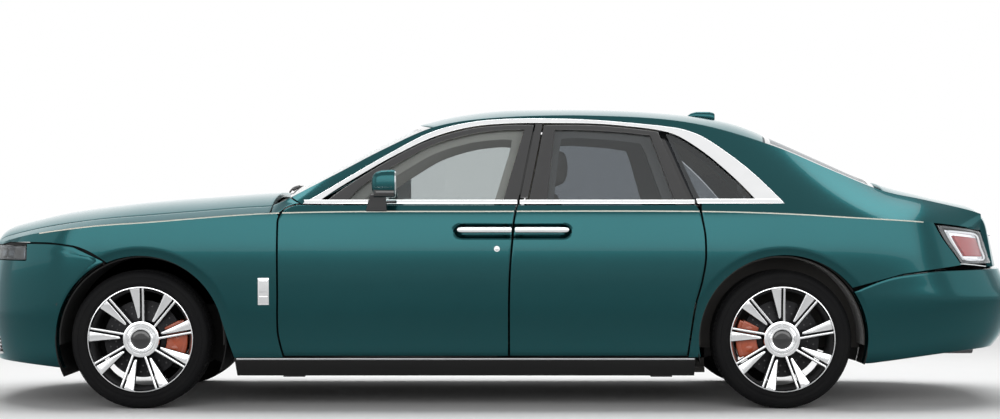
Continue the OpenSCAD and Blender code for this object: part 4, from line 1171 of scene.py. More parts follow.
def make_handles():
    """Chrome door handles on dark feet and a lock button on each front door."""
    a = around(28)
    y, z = blunted(np.cos(a), 0.7), blunted(np.sin(a), 0.7)
    t = np.sin(np.linspace(-math.pi / 2, math.pi / 2, 48)) / 2 + 0.5
    for end, x0, x1 in (("front", -220, 60), ("rear", 75, 354)):
        blunt = np.where((t > 0.5) == (end == "front"), 90, 14)
        full = (1 - abs(2 * t - 1) ** blunt) ** 0.5 * 0.96 + 0.04
        sec = [np.stack([0 * a + mix(x0, x1, q), -982.5 + 6.2 * f * y, 919 + 13.5 * f * z], -1)
               for q, f in zip(t, full)]
        for side, turn in SIDES:
            parts = [swept(f"grip_{end}_{side}", sec, ["bright_metal"], None, turn)]
            for x in (x0 + 22, x1 - 42):
                parts.append(bar(f"grip_foot_{end}_{side}", (x, -979, 910), (x + 20, -956, 928),
                                 "gloss_black", 3, 2, turn))
            on(joined(f"handle_{end}_{side}_grip", parts), f"door_{end}_{side}", f"handle_{end}_{side}")
    lock_x, lock_z = -16.0, 822.0
    for side, out in SIDES:
        place = (lock_x, out * flank(np.array(lock_x), np.array(lock_z)), lock_z)
        on(lathe(f"lock_button_{side}", LOCK, ["bright_metal"], None, 40, place, out), f"door_front_{side}")


def egg(x, y, z, hy, hz, n=44, power=3.2):
    """Rounded square section across the car; a power of 2 makes it an oval."""
    a = around(n)
    return np.stack([x + 0 * a, y + hy * blunted(np.cos(a), 2 / power),
                     z + hz * blunted(np.sin(a), 2 / power)], -1)


mirror_y = -1023
# Place, half width, half height and middle of the mirror head's sections
MIRROR_ROWS = ((-654, 8, 14, 1150), (-651, 22, 34, 1152), (-643, 33, 50, 1154), (-628, 41, 61, 1155),
               (-604, 46, 67, 1156), (-575, 48.5, 69.5, 1156), (-548, 49, 70, 1156), (-538, 48.5, 69.5, 1156),
               (-534, 46, 67, 1156))


def make_mirrors():
    """Door mirrors: painted head, black lower half and foot, silvered glass."""
    sections = {
        "head": ("body_paint", [egg(x, mirror_y, z, hy, hz) for x, hy, hz, z in MIRROR_ROWS]),
        "glass": ("bright_metal", [egg(x, mirror_y, 1156, hy, hz) for x, hy, hz in
                                   ((-535, 42, 63), (-532.6, 42, 63), (-532, 41, 62))]),
        "flash": ("lamp_glass", [egg(x, mirror_y - d, 1136, 5, 5, 12, 2) for x, d in
                                 ((-640, 33), (-625, 42), (-600, 46), (-570, 48.5), (-548, 49))]),
        "skirt": ("gloss_black", [egg(x, mirror_y, 1108, hy * 0.99 + 1.2, 24)
                                  for x, hy, _, _ in MIRROR_ROWS[2:-1]])}
    foot = [(-690, -966, 1012), (-578, -966, 1012), (-578, -946, 1012), (-690, -946, 1012),
            (-664, -1012, 1100), (-584, -1012, 1100), (-584, -984, 1104), (-664, -984, 1104)]
    for side, turn in SIDES:
        parts = [swept(f"mirror_{label}_{side}", sec, [material], None, turn)
                 for label, (material, sec) in sections.items()]
        parts.append(block(f"mirror_foot_{side}", foot, "gloss_black", 7, 3, turn))
        on(joined(f"mirror_{side}_head", parts), f"door_front_{side}", f"mirror_{side}")


# Lamps and grille

lamp_front = smooth_line([(742, 2392), (790, 2358), (867, 2296), (940, 2256)])


def lamp_point(end, u, v, d):
    """Place on a lamp: u across from 0 to 1, v up from 0 to 1, d behind the skin; left side."""
    u, v = np.broadcast_arrays(np.asarray(u, float), np.asarray(v, float))
    if end < 0:
        z = mix(762, 834, v)
        x0, xe, y_in, x_out = nose_start, nose_x(z), 540, -2455
    else:
        z = mix(742, shoulder_z(mix(2256, 2548, u)) - 11, v)
        x0, xe, y_in, x_out = tail_start, tail_x(z), 642 + (z - 742) * 0.1, lamp_front(z)
    w = side_width(z)
    a_in = np.arcsin((y_in / (w - d)) ** ((nose_power if end < 0 else tail_power) / 2))
    a_out = ring_angle(x_out, x0, xe - end * d)
    a = mix(a_in, a_out, u) if end < 0 else mix(a_out, a_in, u)
    return ring(-a, z, d, end)


def lamp_sheet(name, end, span, depths, material, turn, width):
    """Wall that follows a lamp's skin, between two depths behind it."""
    u, v = np.meshgrid(np.linspace(*span[:2], 22), np.linspace(*span[2:], 9))
    outer, inner = (lamp_point(end, u, v, d) for d in depths)
    return shell(name, outer, inner, [material], turn, width)


# Sheets of a lamp: span across and up, depths, finish and rounding of the edges
HEAD = {"case": ((0, 1, 0, 1), (34, 60), "gloss_black", 3),
        "shelf": ((-0.04, 1.04, 1.02, 1.24), (10, 60), "seal_rubber", 2),
        "lens": ((0, 1, 0, 1), (0, 3), "rear_glass", 1.2),
        "rim_low": ((0, 1, 0, 0.07), (3.5, 34), "gloss_black", 0),
        "rim_top": ((0, 1, 0.93, 1), (3.5, 34), "gloss_black", 0),
        "unit_0": ((0.10, 0.34, 0.16, 0.72), (14, 36), "gloss_black", 3),
        "eye_0": ((0.13, 0.31, 0.26, 0.62), (11, 16), "polished_alloy", 2),
        "unit_1": ((0.42, 0.66, 0.16, 0.72), (14, 36), "gloss_black", 3),
        "eye_1": ((0.45, 0.63, 0.26, 0.62), (11, 16), "polished_alloy", 2)}
TAIL = {"case": ((0, 1, 0, 1), (26, 50), "gloss_black", 2),
        "lens": ((0, 1, 0, 1), (0, 3), "lamp_glass", 1.2),
        "field": ((0.22, 0.80, 0.20, 0.76), (9, 26), "red_reflector", 2),
        "band": ((0.10, 0.90, 0.09, 0.90), (17, 26), "bright_metal", 2),
        "rim_front": ((0, 0.06, 0, 1), (3.5, 26), "gloss_black", 0),
        "rim_back": ((0.94, 1, 0, 1), (3.5, 26), "gloss_black", 0),
        "rim_low": ((0.06, 0.94, 0, 0.05), (3.5, 26), "gloss_black", 0),
        "rim_top": ((0.06, 0.94, 0.95, 1), (3.5, 26), "gloss_black", 0)}
# Corner places, depth, radius and finish of the light guides
HEAD_GUIDE = ([(0.03, 0.86), (0.3, 0.86), (0.7, 0.86), (0.93, 0.84), (0.96, 0.5), (0.96, 0.15)],
              9, 2.6, "bright_metal")
TAIL_GUIDE = ([(0.14, 0.86), (0.14, 0.5), (0.14, 0.14), (0.5, 0.10), (0.86, 0.14), (0.86, 0.5), (0.86, 0.86),
               (0.5, 0.88), (0.17, 0.87)], 10, 5, "lamp_white")


def make_lamps():
    """Head lamps with two light units each, tail lamps with white guides round a red field."""
    for label, end, sheets, guide, name, node in (
            ("head", -1, HEAD, HEAD_GUIDE, "head_lamps", "headlamps"),
            ("tail", 1, TAIL, TAIL_GUIDE, "tail_lamp_units", "tail_lamps")):
        corners, d, radius, material = guide
        path = lamp_point(end, *resample(corners, 60, 0.03)[0].T, d)
        parts = []
        for side, turn in SIDES:
            parts += [lamp_sheet(f"{label}_{key}_{side}", end, *sheet[:3], turn, sheet[3])
                      for key, sheet in sheets.items()]
            parts.append(tube(f"{label}_guide_{side}", path, radius, material, 10, turn))
        on(joined(name, parts), "body", node)


def hoop(name, rings, material):
    """Closed frame through rings of points, each ring closed on itself."""
    r = np.asarray(rings, float)
    m, k = r.shape[:2]
    faces = [(i * k + j, ((i + 1) % m) * k + j, ((i + 1) % m) * k + (j + 1) % k, i * k + (j + 1) % k)
             for i in range(m) for j in range(k)]
    return piece(name, r, faces, [material])


def round_box(hy, z0, z1, radius, n=10):
    """Rounded rectangle across the car: (y, z) points."""
    pts = []
    for cy, cz, a0 in ((hy - radius, z1 - radius, 0), (radius - hy, z1 - radius, 90),
                       (radius - hy, z0 + radius, 180), (hy - radius, z0 + radius, 270)):
        for a in np.radians(np.linspace(a0, a0 + 90, n)):
            pts.append((cy + radius * math.cos(a), cz + radius * math.sin(a)))
    return np.array(pts)


def leaning(points):
    """Grille places: depth, across and height from its foot, leaned back by four degrees."""
    p = np.asarray(points, float)
    a = math.radians(4)
    return np.stack([-2756 + p[..., 0] * math.cos(a) + p[..., 2] * math.sin(a), p[..., 1],
                     404 - p[..., 0] * math.sin(a) + p[..., 2] * math.cos(a)], -1)


# Half width, foot, top, corner radius and depth of the rings in the grille's frame
GRILLE_FRAME = ((462, 0, 432, 34, 70), (462, 0, 432, 34, 10), (459, 3, 429, 33, 3), (453, 9, 423, 30, 0),
                (440, 20, 410, 26, 1), (433, 27, 401, 22, 6), (432, 28, 400, 22, 14), (432, 28, 400, 22, 70))


def make_grille():
    """Upright grille: chrome frame, repeated vanes, dark back; lower intake and blank plate."""
    s = settings()
    rings = []
    for *box, x in GRILLE_FRAME:
        p = round_box(*box)
        rings.append(leaning(np.stack([np.full(len(p), x), p[:, 0], p[:, 1]], -1)))
    frame_bar = hoop("grille_frame", rings, "bright_metal")
    inner = 432
    pitch = 2 * inner / s.vane_count
    y = pitch / 2 - inner
    a = np.linspace(-math.pi, math.pi, 16, endpoint=False)
    sec = [leaning(np.stack([29 - 21 * np.cos(a), y + 4.6 * np.sin(a), 0 * a + z], -1))
           for z in np.linspace(26, 404, 10)]
    vane = in_line(swept("grille_vane", sec, ["bright_metal"]), s.vane_count, (0, pitch, 0))
    back = bar("grille_back", (72, -436, 24), (78, 436, 404), "gloss_black", 1, 1)
    back.data.vertices.foreach_set("co", (leaning(vertex_values(back, "co") / MM) * MM).ravel())
    on(joined("grille_bars", [frame_bar, vane, back]), "body", "grille")
    reach, wide = 756, 972
    sec, bright_sec, back_sec = [], [], []
    for y in np.linspace(-625, 625, 40):
        x = nose_start - reach * (1 - (abs(y) / wide) ** nose_power) ** (1 / nose_power)
        slat = np.array([(x + dx, y, 284 + dz) for dx, dz in ((-2, 0), (8, 6), (26, 3), (26, -3), (8, -6))])
        sec.append(slat)
        bright_sec.append(slat + (-5, 0, -16))
        back_sec.append([(x + dx, y, z) for dx, z in ((66, 256), (72, 256), (72, 366), (66, 366))])
    bars = [swept("intake_back", back_sec, ["gloss_black"]),
            in_line(swept("intake_slat", sec, ["gloss_black"]), 4, (0, 0, 18)),
            swept("intake_bright", bright_sec, ["bright_metal"])]
    on(joined("front_intake", bars), "body")
    on(bar("front_plate_base", (-2770, -262, 424), (-2754, 262, 544), "moulded_plastic", 5, 3), "body")


# Cabin

def pillow_rows(rows, axis, power=4.5, n=40):
    """Rounded sections along one axis from (place, centre, centre, half, half) rows."""
    a = around(n)
    c, s = blunted(np.cos(a), 2 / power), blunted(np.sin(a), 2 / power)
    out = []
    for place, u, v, hu, hv in rows:
        flat = [u + hu * c, v + hv * s]
        flat.insert(axis, np.full(n, float(place)))
        out.append(np.stack(flat, -1))
    return out


SWELL_PRESSURE, SWELL_FRAMES, SEAM_BAND, SEAM_FACING = 4.0, 20, 0.55, 0.35


def swollen(obj, voxel, seams, cap):
    """Remeshes a pad, pins its seams, lets cloth swell under pressure and keeps the result."""
    scene = bpy.context.scene
    m = obj.modifiers.new("even", "REMESH")
    m.mode, m.voxel_size = "VOXEL", voxel * MM
    settle(obj)
    start, normal = vertex_values(obj, "co"), vertex_values(obj, "normal")
    held = np.zeros(len(start), bool)
    for axis, place, face, sign in seams:
        near = abs(start[:, axis] - place * MM) < SEAM_BAND * voxel * MM
        held |= near & (normal[:, face] * sign > SEAM_FACING)
    obj.vertex_groups.new(name="seam").add([int(i) for i in np.flatnonzero(held)], 1.0, "REPLACE")
    m = obj.modifiers.new("swell", "CLOTH")
    m.settings.use_pressure, m.settings.uniform_pressure_force = True, SWELL_PRESSURE
    m.settings.effector_weights.gravity = 0
    m.settings.vertex_group_mass = "seam"
    m.collision_settings.use_collision = False
    m.point_cache.frame_start, m.point_cache.frame_end = 1, SWELL_FRAMES
    for frame_number in range(1, SWELL_FRAMES + 1):
        scene.frame_set(frame_number)
    settle(obj)
    scene.frame_set(1)
    move = vertex_values(obj, "co") - start
    size = np.linalg.norm(move, axis=1)[:, None]
    move *= np.minimum(1, cap * MM / np.maximum(size, 1e-9))
    obj.data.vertices.foreach_set("co", (start + move).ravel())
    m = obj.modifiers.new("smooth", "SMOOTH")
    m.factor, m.iterations = 0.5, 2
    return settle(obj)


def mirrored(obj, name):
    """Copy of a piece on the other side of the car."""
    other = obj.copy()
    other.data = obj.data.copy()
    other.name = other.data.name = name
    bpy.context.scene.collection.objects.link(other)
    other.data.transform(Matrix.Scale(-1, 4, (0, 1, 0)))
    other.data.flip_normals()
    return other


# Axis of the sections, sections, voxel size, seams as axis, place, face and sign, and limit of the swell
PADS = {
    "front_cushion": (0, [(-352, -400, 398, 150, 30), (-346, -400, 402, 205, 62), (-326, -400, 404, 226, 80),
                          (-280, -400, 402, 233, 86), (-60, -400, 392, 235, 84), (140, -400, 388, 235, 82),
                          (206, -400, 388, 232, 80), (228, -400, 388, 222, 68), (236, -400, 388, 180, 40)],
                      12, [(1, -550, 2, 1), (1, -250, 2, 1), (0, -120, 2, 1), (0, 60, 2, 1)], 24),
    "front_back": (2, [(482, 180, -400, 26, 180), (490, 181, -400, 50, 214), (520, 186, -400, 58, 228),
                       (700, 212, -400, 56, 228), (900, 241, -400, 52, 218), (1060, 264, -400, 46, 202),
                       (1108, 271, -400, 38, 190), (1124, 274, -400, 20, 150)],
                   12, [(1, -540, 0, -1), (1, -260, 0, -1), (2, 700, 0, -1), (2, 880, 0, -1)], 22),
    "front_headrest": (1, [(-524, 308, 1245, 24, 50), (-520, 308, 1245, 37, 76), (-500, 308, 1245, 43, 88),
                           (-400, 306, 1246, 45, 92), (-300, 308, 1245, 43, 88), (-280, 308, 1245, 37, 76),
                           (-276, 308, 1245, 24, 50)], 9, [(2, 1245, 0, -1)], 16),
    "rear_cushion": (1, [(-640, 1118, 428, 150, 40), (-634, 1118, 430, 190, 66), (-612, 1118, 432, 204, 76),
                         (-330, 1118, 432, 208, 80), (-70, 1118, 432, 204, 76), (-48, 1118, 430, 190, 66),
                         (-42, 1118, 428, 150, 40)],
                     12, [(1, -480, 2, 1), (1, -200, 2, 1), (0, 1060, 2, 1)], 22),
    "rear_back": (2, [(500, 1340, -340, 24, 250), (510, 1341, -340, 46, 282), (540, 1345, -340, 54, 294),
                      (760, 1374, -340, 50, 294), (960, 1400, -340, 44, 290), (1060, 1411, -340, 34, 280),
                      (1078, 1413, -340, 18, 240)],
                  12, [(1, -480, 0, -1), (1, -200, 0, -1), (2, 780, 0, -1)], 20),
    "rear_headrest": (1, [(-514, 1402, 1176, 18, 38), (-510, 1402, 1176, 28, 58), (-490, 1402, 1176, 33, 70),
                          (-385, 1401, 1176, 34, 73), (-280, 1402, 1176, 33, 70), (-260, 1402, 1176, 28, 58),
                          (-256, 1402, 1176, 18, 38)], 9, [(2, 1176, 0, -1)], 14)}


def make_seats():
    """Padded front seats and rear bench in cloth-swollen leather, on hard bases."""
    for name, (axis, rows, voxel, seams, cap) in PADS.items():
        pad = swept(f"{name}_left", pillow_rows(rows, axis), ["seat_leather"])
        on(swollen(pad, voxel, seams, cap), "body", "seats")
        other = on(mirrored(pad, f"{name}_right"), "body", "seats")
    parts = []
    for side, turn in SIDES:
        for label, lo, hi, material, width, segments in (
                ("seat_base", (-300, -580, 199), (140, -220, 309), "moulded_plastic", 14, 3),
                ("seat_valance", (-316, -632, 292), (190, -616, 352), "dark_leather", 6, 2),
                ("rear_base", (1000, -600, 330), (1080, -20, 352), "moulded_plastic", 4, 2)):
            parts.append(bar(f"{label}_{side}", lo, hi, material, width, segments, turn))
        for label, x, y, zs, radius in (("headrest", 288, -452, (1080, 1120, 1160, 1190), 7),
                                        ("headrest", 288, -348, (1080, 1120, 1160, 1190), 7),
                                        ("rear", 1403, -385, (1050, 1080, 1100, 1125), 8)):
            path = [(x, y, z) for z in zs]
            parts.append(tube(f"{label}_stalk_{side}", path, radius, "bright_metal", 14, turn))
        for k, y in enumerate((-632, -168)):
            path = [(x, y, 470 - (x + 100) ** 2 / 9000) for x in range(-300, 201, 20)]
            parts.append(tube(f"seat_piping_{k}_{side}", path, 3, "dark_leather", 8, turn))
    parts.append(bar("bench_armrest", (1010, -36, 440), (1330, 36, 560), "dark_leather", 20, 4))
    on(joined("seat_frames", parts), "body", "seats")


DASH = [(-1088, 1000), (-1070, 1060), (-930, 1066), (-800, 1030), (-770, 960), (-800, 840), (-900, 760),
        (-1088, 740)]
VENTS = (-620, -180, 180, 620)
# Round pieces on the fascia: places across, height, finish, and (depth, radius) rings
DIALS = {
    "vent_ring": (VENTS, 904, "bright_metal",
                  ((-790, 40), (-770, 40), (-766, 37), (-766, 33), (-770, 31), (-790, 31))),
    "vent_core": (VENTS, 904, "gloss_black",
                  ((-790, 31), (-772, 30), (-770, 14), (-768, 12), (-768, 1), (-790, 1))),
    "clock": ((0,), 904, "bright_metal",
              ((-790, 30), (-771, 30), (-768, 27), (-768, 25), (-772, 24), (-772, 1), (-790, 1))),
    "dial": ((-470, -330), 906, "bright_metal",
             ((-790, 36), (-776, 36), (-774, 33), (-776, 31), (-778, 30), (-778, 1), (-790, 1)))}


def make_dashboard():
    """Leather dashboard with a veneer fascia, round vents, dials, console and steering wheel."""
    parts = [swept("dash_top", [[(x, y, z) for x, z in DASH] for y in (-700, 700)], ["dark_leather"], None,
                   None, 22),
             bar("console", (-960, -130, 362), (40, 130, 562), "dark_leather", 24, 4),
             bar("console_rise", (-960, -130, 540), (-800, 130, 800), "dark_leather", 16, 3),
             block("console_top", [(-790, -104, 556), (24, -104, 556), (24, 104, 556), (-790, 104, 556),
                                   (-786, -100, 569), (20, -100, 569), (20, 100, 569), (-786, 100, 569)],
                   "veneer", 4, 2),
             bar("console_lid", (-260, -96, 566), (20, 96, 600), "seat_leather", 12, 3)]
    for label, y0, y1, material in (("outer", -680, -560, "veneer"), ("driver", -552, -248, "gloss_black"),
                                    ("centre", -240, 240, "veneer"), ("passenger", 248, 680, "veneer")):
        corners = [(x + dx, y, z) for x, z in ((-794, 862), (-781, 946))
                   for dx, y in ((0, y0), (12, y0), (12, y1), (0, y1))]
        parts.append(block(f"fascia_{label}", corners, material, 4, 2))
    for label, (places, z, material, rings) in DIALS.items():
        for y in places:
            parts.append(hoop(label, [egg(x, y, z, r, r, 40, 2) for x, r in rings], material))
    on(joined("dash_and_console", parts), "body", "dashboard")
    a = np.linspace(0, 2 * math.pi, 97)
    circle = np.stack([np.cos(a), np.sin(a), 0 * a], -1)
    boss = [circle[:-1] * r + (0, 0, z)
            for r, z in ((60, -20), (72, -14), (72, 4), (66, 12), (48, 15), (8, 16))]
    wheel = [tube("wheel_hoop", circle * 175, 15, "dark_leather", 20),
             swept("wheel_boss", boss, ["dark_leather"])]
    for t in (-90, 0, 90):
        arm = bar("wheel_arm", (54, -15, -9), (168, 15, 5), "polished_alloy", 4, 2)
        arm.data.transform(Matrix.Rotation(math.radians(t), 4, "Z"))
        wheel.append(arm)
    wheel.append(tube("wheel_column", [(0, 0, z) for z in (-128, -100, -60, -12)], 34, "moulded_plastic", 32))
    steering = joined("steering_hoop", wheel)
    steering.data.transform(Matrix.Rotation(math.radians(66), 4, "Y"))
    on(moved(steering, (-690, -400, 905)), "body", "steering_wheel")


# Outer and inner line of the front lining, then of the rear lining
LININGS = (
    [(-900, 1046), (-770, 1150), (-540, 1285), (-350, 1380), (-154, 1436), (46, 1456), (170, 1456),
     (146, 1340), (112, 1190), (80, 1046)],
    [(-728, 1046), (-640, 1126), (-486, 1228), (-338, 1312), (-158, 1368), (0, 1388), (62, 1386), (52, 1330),
     (10, 1190), (-34, 1046)],
    [(146, 1046), (180, 1190), (208, 1330), (236, 1454), (330, 1456), (523, 1452), (691, 1438), (816, 1420),
     (862, 1320), (918, 1180), (976, 1046)],
    [(272, 1046), (292, 1190), (308, 1320), (322, 1392), (400, 1396), (523, 1390), (640, 1380), (738, 1366),
     (762, 1310), (804, 1180), (846, 1046)])


def make_lining():
    """Lining of the pillars and of the rail over the doors, inside the cabin."""
    parts = []
    for (rim, edge), end in ((LININGS[:2], "front"), (LININGS[2:], "rear")):
        corners = FRAMES[end][2]
        flat = between([frame_line(edge, corners), frame_line(rim, corners)], [4])
        for _, turn in SIDES:
            parts.append(side_sheet("lining", flat, 62, 80, ["headlining"], turn, 6))
    on(joined("pillar_lining", parts), "body")


def make_door_trims():
    """Inner door cards with armrests, levers and a veneer strip."""
    for end, x0, x1 in (("front", -980, 30), ("rear", 150, 900)):
        sheets = {
            "card": (patch((x0 + 40, x1 - 20, 330), (x0, x1, 1030), 30, 20), 92, 104, ["seat_leather"], 4),
            "veneer": (patch((x0 + 60, x1 - 60, 860), (x0 + 60, x1 - 60, 930), 20, 6), 102, 110,
                       ["veneer"], 2),
            "rest": (patch((x0 + 260, x1 - 120, 690), (x0 + 260, x1 - 120, 760), 20, 6), 100, 148,
                     ["dark_leather"], 12),
            "lever": (patch((x0 + 150, x0 + 240, 885), (x0 + 150, x0 + 240, 905), 6, 3), 110, 122,
                      ["bright_metal"], 4)}
        for side, turn in SIDES:
            parts = [side_sheet(f"door_{label}_{end}_{side}", flat, front, back, materials, turn, width)
                     for label, (flat, front, back, materials, width) in sheets.items()]
            on(joined(f"door_trim_{end}_{side}", parts), f"door_{end}_{side}")


# Trim on the body

def strip(name, x0, x1, z, width, lift, material, turn, depth=1.5, n=60):
    """Thin band along the side at height z, or along the shoulder where z is None."""
    x = np.linspace(x0, x1, n)
    z = shoulder_z(x) - 1.5 if z is None else np.full(n, float(z))
    flat = between([np.stack([x, z - width / 2], -1), np.stack([x, z + width / 2], -1)], [2])
    return side_sheet(name, flat, -lift, depth, [material], turn, min(lift * 0.6, 1.5))


def side_trim(side, turn):
    """Coachline, belt and sill strips, sill cover, wing plaque and parking sensor of one side."""
    front_door, rear_door = f"door_front_{side}", f"door_rear_{side}"
    a0, a1, b, c = (float(v) for v in (line_a(1004), line_a(1006), line_b(1013), line_c(1013)))
    g, width = 7, settings().coachline_width / MM
    for k, (x0, x1, body) in enumerate(((-2378, a0 - g, "body"), (a1 + g, b - g, front_door),
                                        (b + g, c - g, rear_door), (c + g, 2180, "body"))):
        on(strip(f"coachline_{k}_{side}", x0, x1, None, width, 0.5, "coachline", turn, n=120), body)
    b = float(line_b(1066))
    for label, x0, x1, body in (("front", -1006, b - 6, front_door), ("rear", b + 6, 1000, rear_door)):
        on(strip(f"belt_strip_{label}_{side}", x0, x1, 1063, 20, 3, "bright_metal", turn), body)
    on(strip(f"sill_strip_{side}", -1352, 998, 256, 9, 3.5, "bright_metal", turn, 2), "body")
    flat = patch((-1352, 1000, 170), (-1360, 1003, 250), 60, 12)
    on(side_sheet(f"sill_cover_{side}", flat, -1.2, 4, ["seal_rubber"], turn, 2), "body")
    flat = patch((-1239, -1181, 534), (-1239, -1181, 674), 8, 14)
    parts = [side_sheet(f"plaque_{side}", flat, -5, 2, ["bright_metal"], turn, 4)]
    for z0, z1 in ((544, 580), (596, 664)):
        flat = patch((-1231, -1189, z0), (-1231, -1189, z1), 8, 8)
        parts.append(side_sheet(f"plaque_field_{side}", flat, -5.8, 0, ["polished_alloy"], turn, 1))
    on(joined(f"wing_plaque_{side}", parts), "body")
    u, v = np.meshgrid(np.linspace(-1, 1, 12), np.linspace(-1, 1, 12))
    disc = np.stack([u * np.sqrt(1 - v * v / 2), v * np.sqrt(1 - u * u / 2)], -1) * 9 + (-2270, 534)
    on(side_sheet(f"park_sensor_side_{side}", disc, -1.2, 2, ["gloss_black"], turn, 0.8), "body")


def make_trim():
    """Trim of both sides, wipers, strip on the boot lid and aerial fin."""
    for side, turn in SIDES:
        side_trim(side, turn)
    wipers = []
    n = 40
    glass = crown(*screen_lines(screen_c, screen_x, n), 121, 2, 2.2, -9)
    rows = mix(1.0, 2.6, np.sin(np.linspace(0, math.pi / 2, n)))
    for label, j0, j1 in (("driver", 96, 46), ("passenger", 62, 14)):
        path = [mix(glass[int(r), int(j)], glass[int(r) + 1, int(j)], r % 1)
                for r, j in zip(rows, np.linspace(j0, j1, n))]
        path = resample(path, n, 40)[0]
        arm = [path[0] + (-20, 0, -14), path[0] + (-10, 0, 0), path[8] + (-6, 0, 5), path[20] + (0, 0, 5)]
        wipers += [tube(f"wiper_blade_{label}", path, 4.5, "seal_rubber", 8),
                   tube(f"wiper_arm_{label}", resample(arm, 24, 8)[0], 5, "moulded_plastic", 8)]
    on(joined("wipers", wipers), "body")
    corners = [(x, y, z) for x0, x1, z in ((2640, 2660, 880), (2634, 2652, 900))
               for x, y in ((x0, -300), (x1, -300), (x1, 300), (x0, 300))]
    on(block("rear_strip", corners, "bright_metal", 5, 3), "boot_lid")
    fin = [egg(x, 0, z, hy, hz, 24, 2.2) for x, z, hy, hz in
           ((1040, 1538.5, 3, 3.5), (1060, 1543.5, 9, 13.5), (1090, 1545.5, 13, 19.5),
            (1130, 1542.7, 15, 22.8), (1165, 1540.5, 14, 24.5), (1184, 1536, 11, 24), (1192, 1532, 8, 21))]
    on(swept("aerial_fin", fin, ["body_paint"]), "body", "antenna_fin")


# Stage

# Place, aim, size, spread in degrees and power of the lights
LIGHTS = {"side_box": ((0, -17, 5.7), (0, 0, 1.6), (34, 7.6), 180, 1800),
          "top_box": ((0, 1.5, 7.5), (0, 1.5, 0), (11, 4), 120, 330),
          "far_box": ((0, 15, 6.5), (0, 0, 1), (44, 12), 180, 480),
          "nose_box": ((-15, -2, 4.2), (-1, 0, 0.8), (14, 6), 180, 200),
          "tail_box": ((15, -2, 4.2), (1, 0, 0.8), (14, 6), 180, 200)}
WORLD_LIGHT, FLOOR_RADIUS, FADE_FROM, FADE_TO = 0.15, 60, 4.5, 12.0


def placed(name, data):
    """Object in the scene from its data."""
    obj = bpy.data.objects.new(name, data)
    bpy.context.scene.collection.objects.link(obj)
    return obj


def make_world(scene):
    """White to the camera, to mirrors and through glass, and dim as a light."""
    scene.world = bpy.data.worlds.new("studio")
    scene.world.use_nodes = True
    tree = scene.world.node_tree
    path, background = tree.nodes.new("ShaderNodeLightPath"), tree.nodes["Background"]
    seen = None
    for kind in ("Is Camera Ray", "Is Glossy Ray", "Is Transmission Ray"):
        level = tree.nodes.new("ShaderNodeMath")
        level.operation = "MAXIMUM"
        level.inputs[1].default_value = WORLD_LIGHT
        tree.links.new(path.outputs[kind], level.inputs[0])
        if seen:
            tree.links.new(seen, level.inputs[1])
        seen = level.outputs[0]
    tree.links.new(seen, background.inputs["Strength"])
    background.inputs["Color"].default_value = (1, 1, 1, 1)


def make_floor():
    """Round floor that keeps the shadow near the car and fades to white."""
    f = Finish("studio_floor", (0.9, 0.9, 0.9))
    where = f.node("ShaderNodeTexCoord", out=3)
    far = f.node("ShaderNodeVectorMath", {"operation": "LENGTH"}, {0: where}, out=1)
    fade = f.node("ShaderNodeMapRange", {"interpolation_type": "SMOOTHSTEP"},
                  {0: far, 1: FADE_FROM, 2: FADE_TO})
    tint = f.tint(f.noise(3, 3), (0.90, 0.90, 0.90), (0.92, 0.92, 0.92))
    base = f.node("ShaderNodeBsdfDiffuse", None, {"Color": tint})
    white = f.node("ShaderNodeEmission", None, {"Color": (1, 1, 1, 1), "Strength": 1.0})
    f.shown(f.node("ShaderNodeMixShader", None, {0: fade, 1: base, 2: white}))
    n = 96
    verts = [(0, 0, 0)] + [(FLOOR_RADIUS * math.cos(t), FLOOR_RADIUS * math.sin(t), 0) for t in around(n)]
    mesh = bpy.data.meshes.new("studio_floor")
    mesh.from_pydata(verts, [], [(0, 1 + i, 1 + (i + 1) % n) for i in range(n)])
    mesh.materials.append(f.material)
    placed("studio_floor", mesh)


def make_stage():
    """Camera, soft lights, white surroundings and the floor."""
    scene = bpy.context.scene
    scene.view_settings.view_transform = "Standard"
    lens = bpy.data.cameras.new("photo_camera")
    lens.lens, lens.sensor_width, lens.clip_end = 80.05, 36.0, 200
    camera = placed("photo_camera", lens)
    camera.location = (0, -12.357, 1.023)
    camera.rotation_euler = (math.radians(90), 0, 0)
    scene.camera = camera
    make_world(scene)
    for name, (place, aim, size, spread, power) in LIGHTS.items():
        lamp = bpy.data.lights.new(name, "AREA")
        lamp.shape, (lamp.size, lamp.size_y), lamp.energy = "RECTANGLE", size, power
        lamp.spread = math.radians(spread)
        obj = placed(name, lamp)
        obj.location = place
        obj.rotation_euler = (Vector(aim) - Vector(place)).to_track_quat("-Z", "Y").to_euler()
        obj.visible_camera = False
    make_floor()


# CAD nodes that keep their shape

CARRIED = {"floor_pan": "under_seal", "front_bulkhead": "under_seal", "rear_tub": "carpet",
           "engine_block": "cast_metal", "front_axle": "cast_metal", "exhaust": "cast_metal"}


def dress_carried():
    """Finishes on the CAD nodes that stay."""
    for name, material in CARRIED.items():
        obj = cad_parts[name]
        obj.data.materials.clear()
        obj.data.materials.append(finish(material))


# Settings, operators and panel

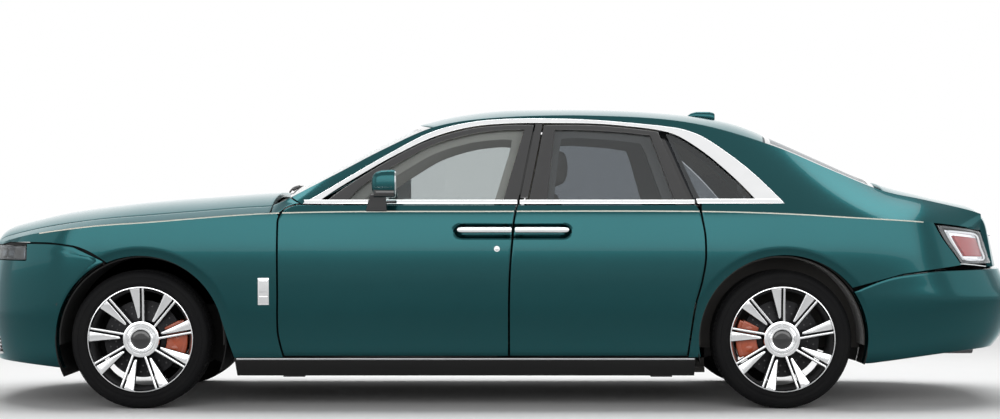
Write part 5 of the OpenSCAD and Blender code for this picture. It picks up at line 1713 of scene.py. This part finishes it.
class SaloonSettings(bpy.types.PropertyGroup):
    """Sizes and colours that a user would change."""

    paint_colour: FloatVectorProperty(name="Paint", description="Colour of the body paint", subtype="COLOR",
                                      size=3, min=0, max=1, default=(0.009, 0.065, 0.071))
    leather_colour: FloatVectorProperty(name="Leather", description="Colour of the seats", subtype="COLOR",
                                        size=3, min=0, max=1, default=(0.42, 0.37, 0.30))
    spoke_count: IntProperty(name="Spokes", description="Double spokes in each wheel",
                             default=9, min=5, max=15)
    tread_count: IntProperty(name="Tread blocks", description="Tread blocks round each tyre",
                             default=84, min=40, max=140)
    vane_count: IntProperty(name="Vanes", description="Upright vanes in the grille",
                            default=20, min=8, max=40)
    coachline_width: FloatProperty(name="Coachline", description="Width of the painted line on the shoulder",
                                   default=0.006, min=0.002, max=0.02, subtype="DISTANCE", unit="LENGTH")


def operator(name, make):
    """Operator class that runs one maker."""
    def execute(self, context):
        make()
        return {"FINISHED"}
    return type(f"SALOON_OT_{name}", (bpy.types.Operator,), {
        "bl_idname": f"saloon.{name}", "bl_label": name.replace("_", " ").capitalize(),
        "__doc__": make.__doc__, "execute": execute})


STEPS = [(make.__name__.partition("_")[2], make) for make in (
    make_stage, dress_carried, make_side_frame, make_doors, make_front_panels, make_roof_and_boot,
    make_bumpers, make_glazing, make_brightwork, make_wheels, make_brakes, make_liners, make_handles,
    make_mirrors, make_lamps, make_grille, make_trim, make_seats, make_dashboard, make_lining,
    make_door_trims)]
OPERATORS = [operator(*step) for step in STEPS]


class SALOON_PT_panel(bpy.types.Panel):
    """Lists the settings and the operators."""

    bl_label = "Saloon"
    bl_space_type = "VIEW_3D"
    bl_region_type = "UI"
    bl_category = "Saloon"

    def draw(self, context):
        for key in SaloonSettings.__annotations__:
            self.layout.prop(context.scene.saloon, key)
        for name, _ in STEPS:
            self.layout.operator(f"saloon.{name}")


CLASSES = [SaloonSettings, *OPERATORS, SALOON_PT_panel]


def register():
    for cls in CLASSES:
        bpy.utils.register_class(cls)
    bpy.types.Scene.saloon = PointerProperty(type=SaloonSettings)


def unregister():
    del bpy.types.Scene.saloon
    for cls in reversed(CLASSES):
        bpy.utils.unregister_class(cls)


def main():
    register()
    for name, _ in STEPS:
        getattr(bpy.ops.saloon, name)()


if __name__ == "__main__":
    main()
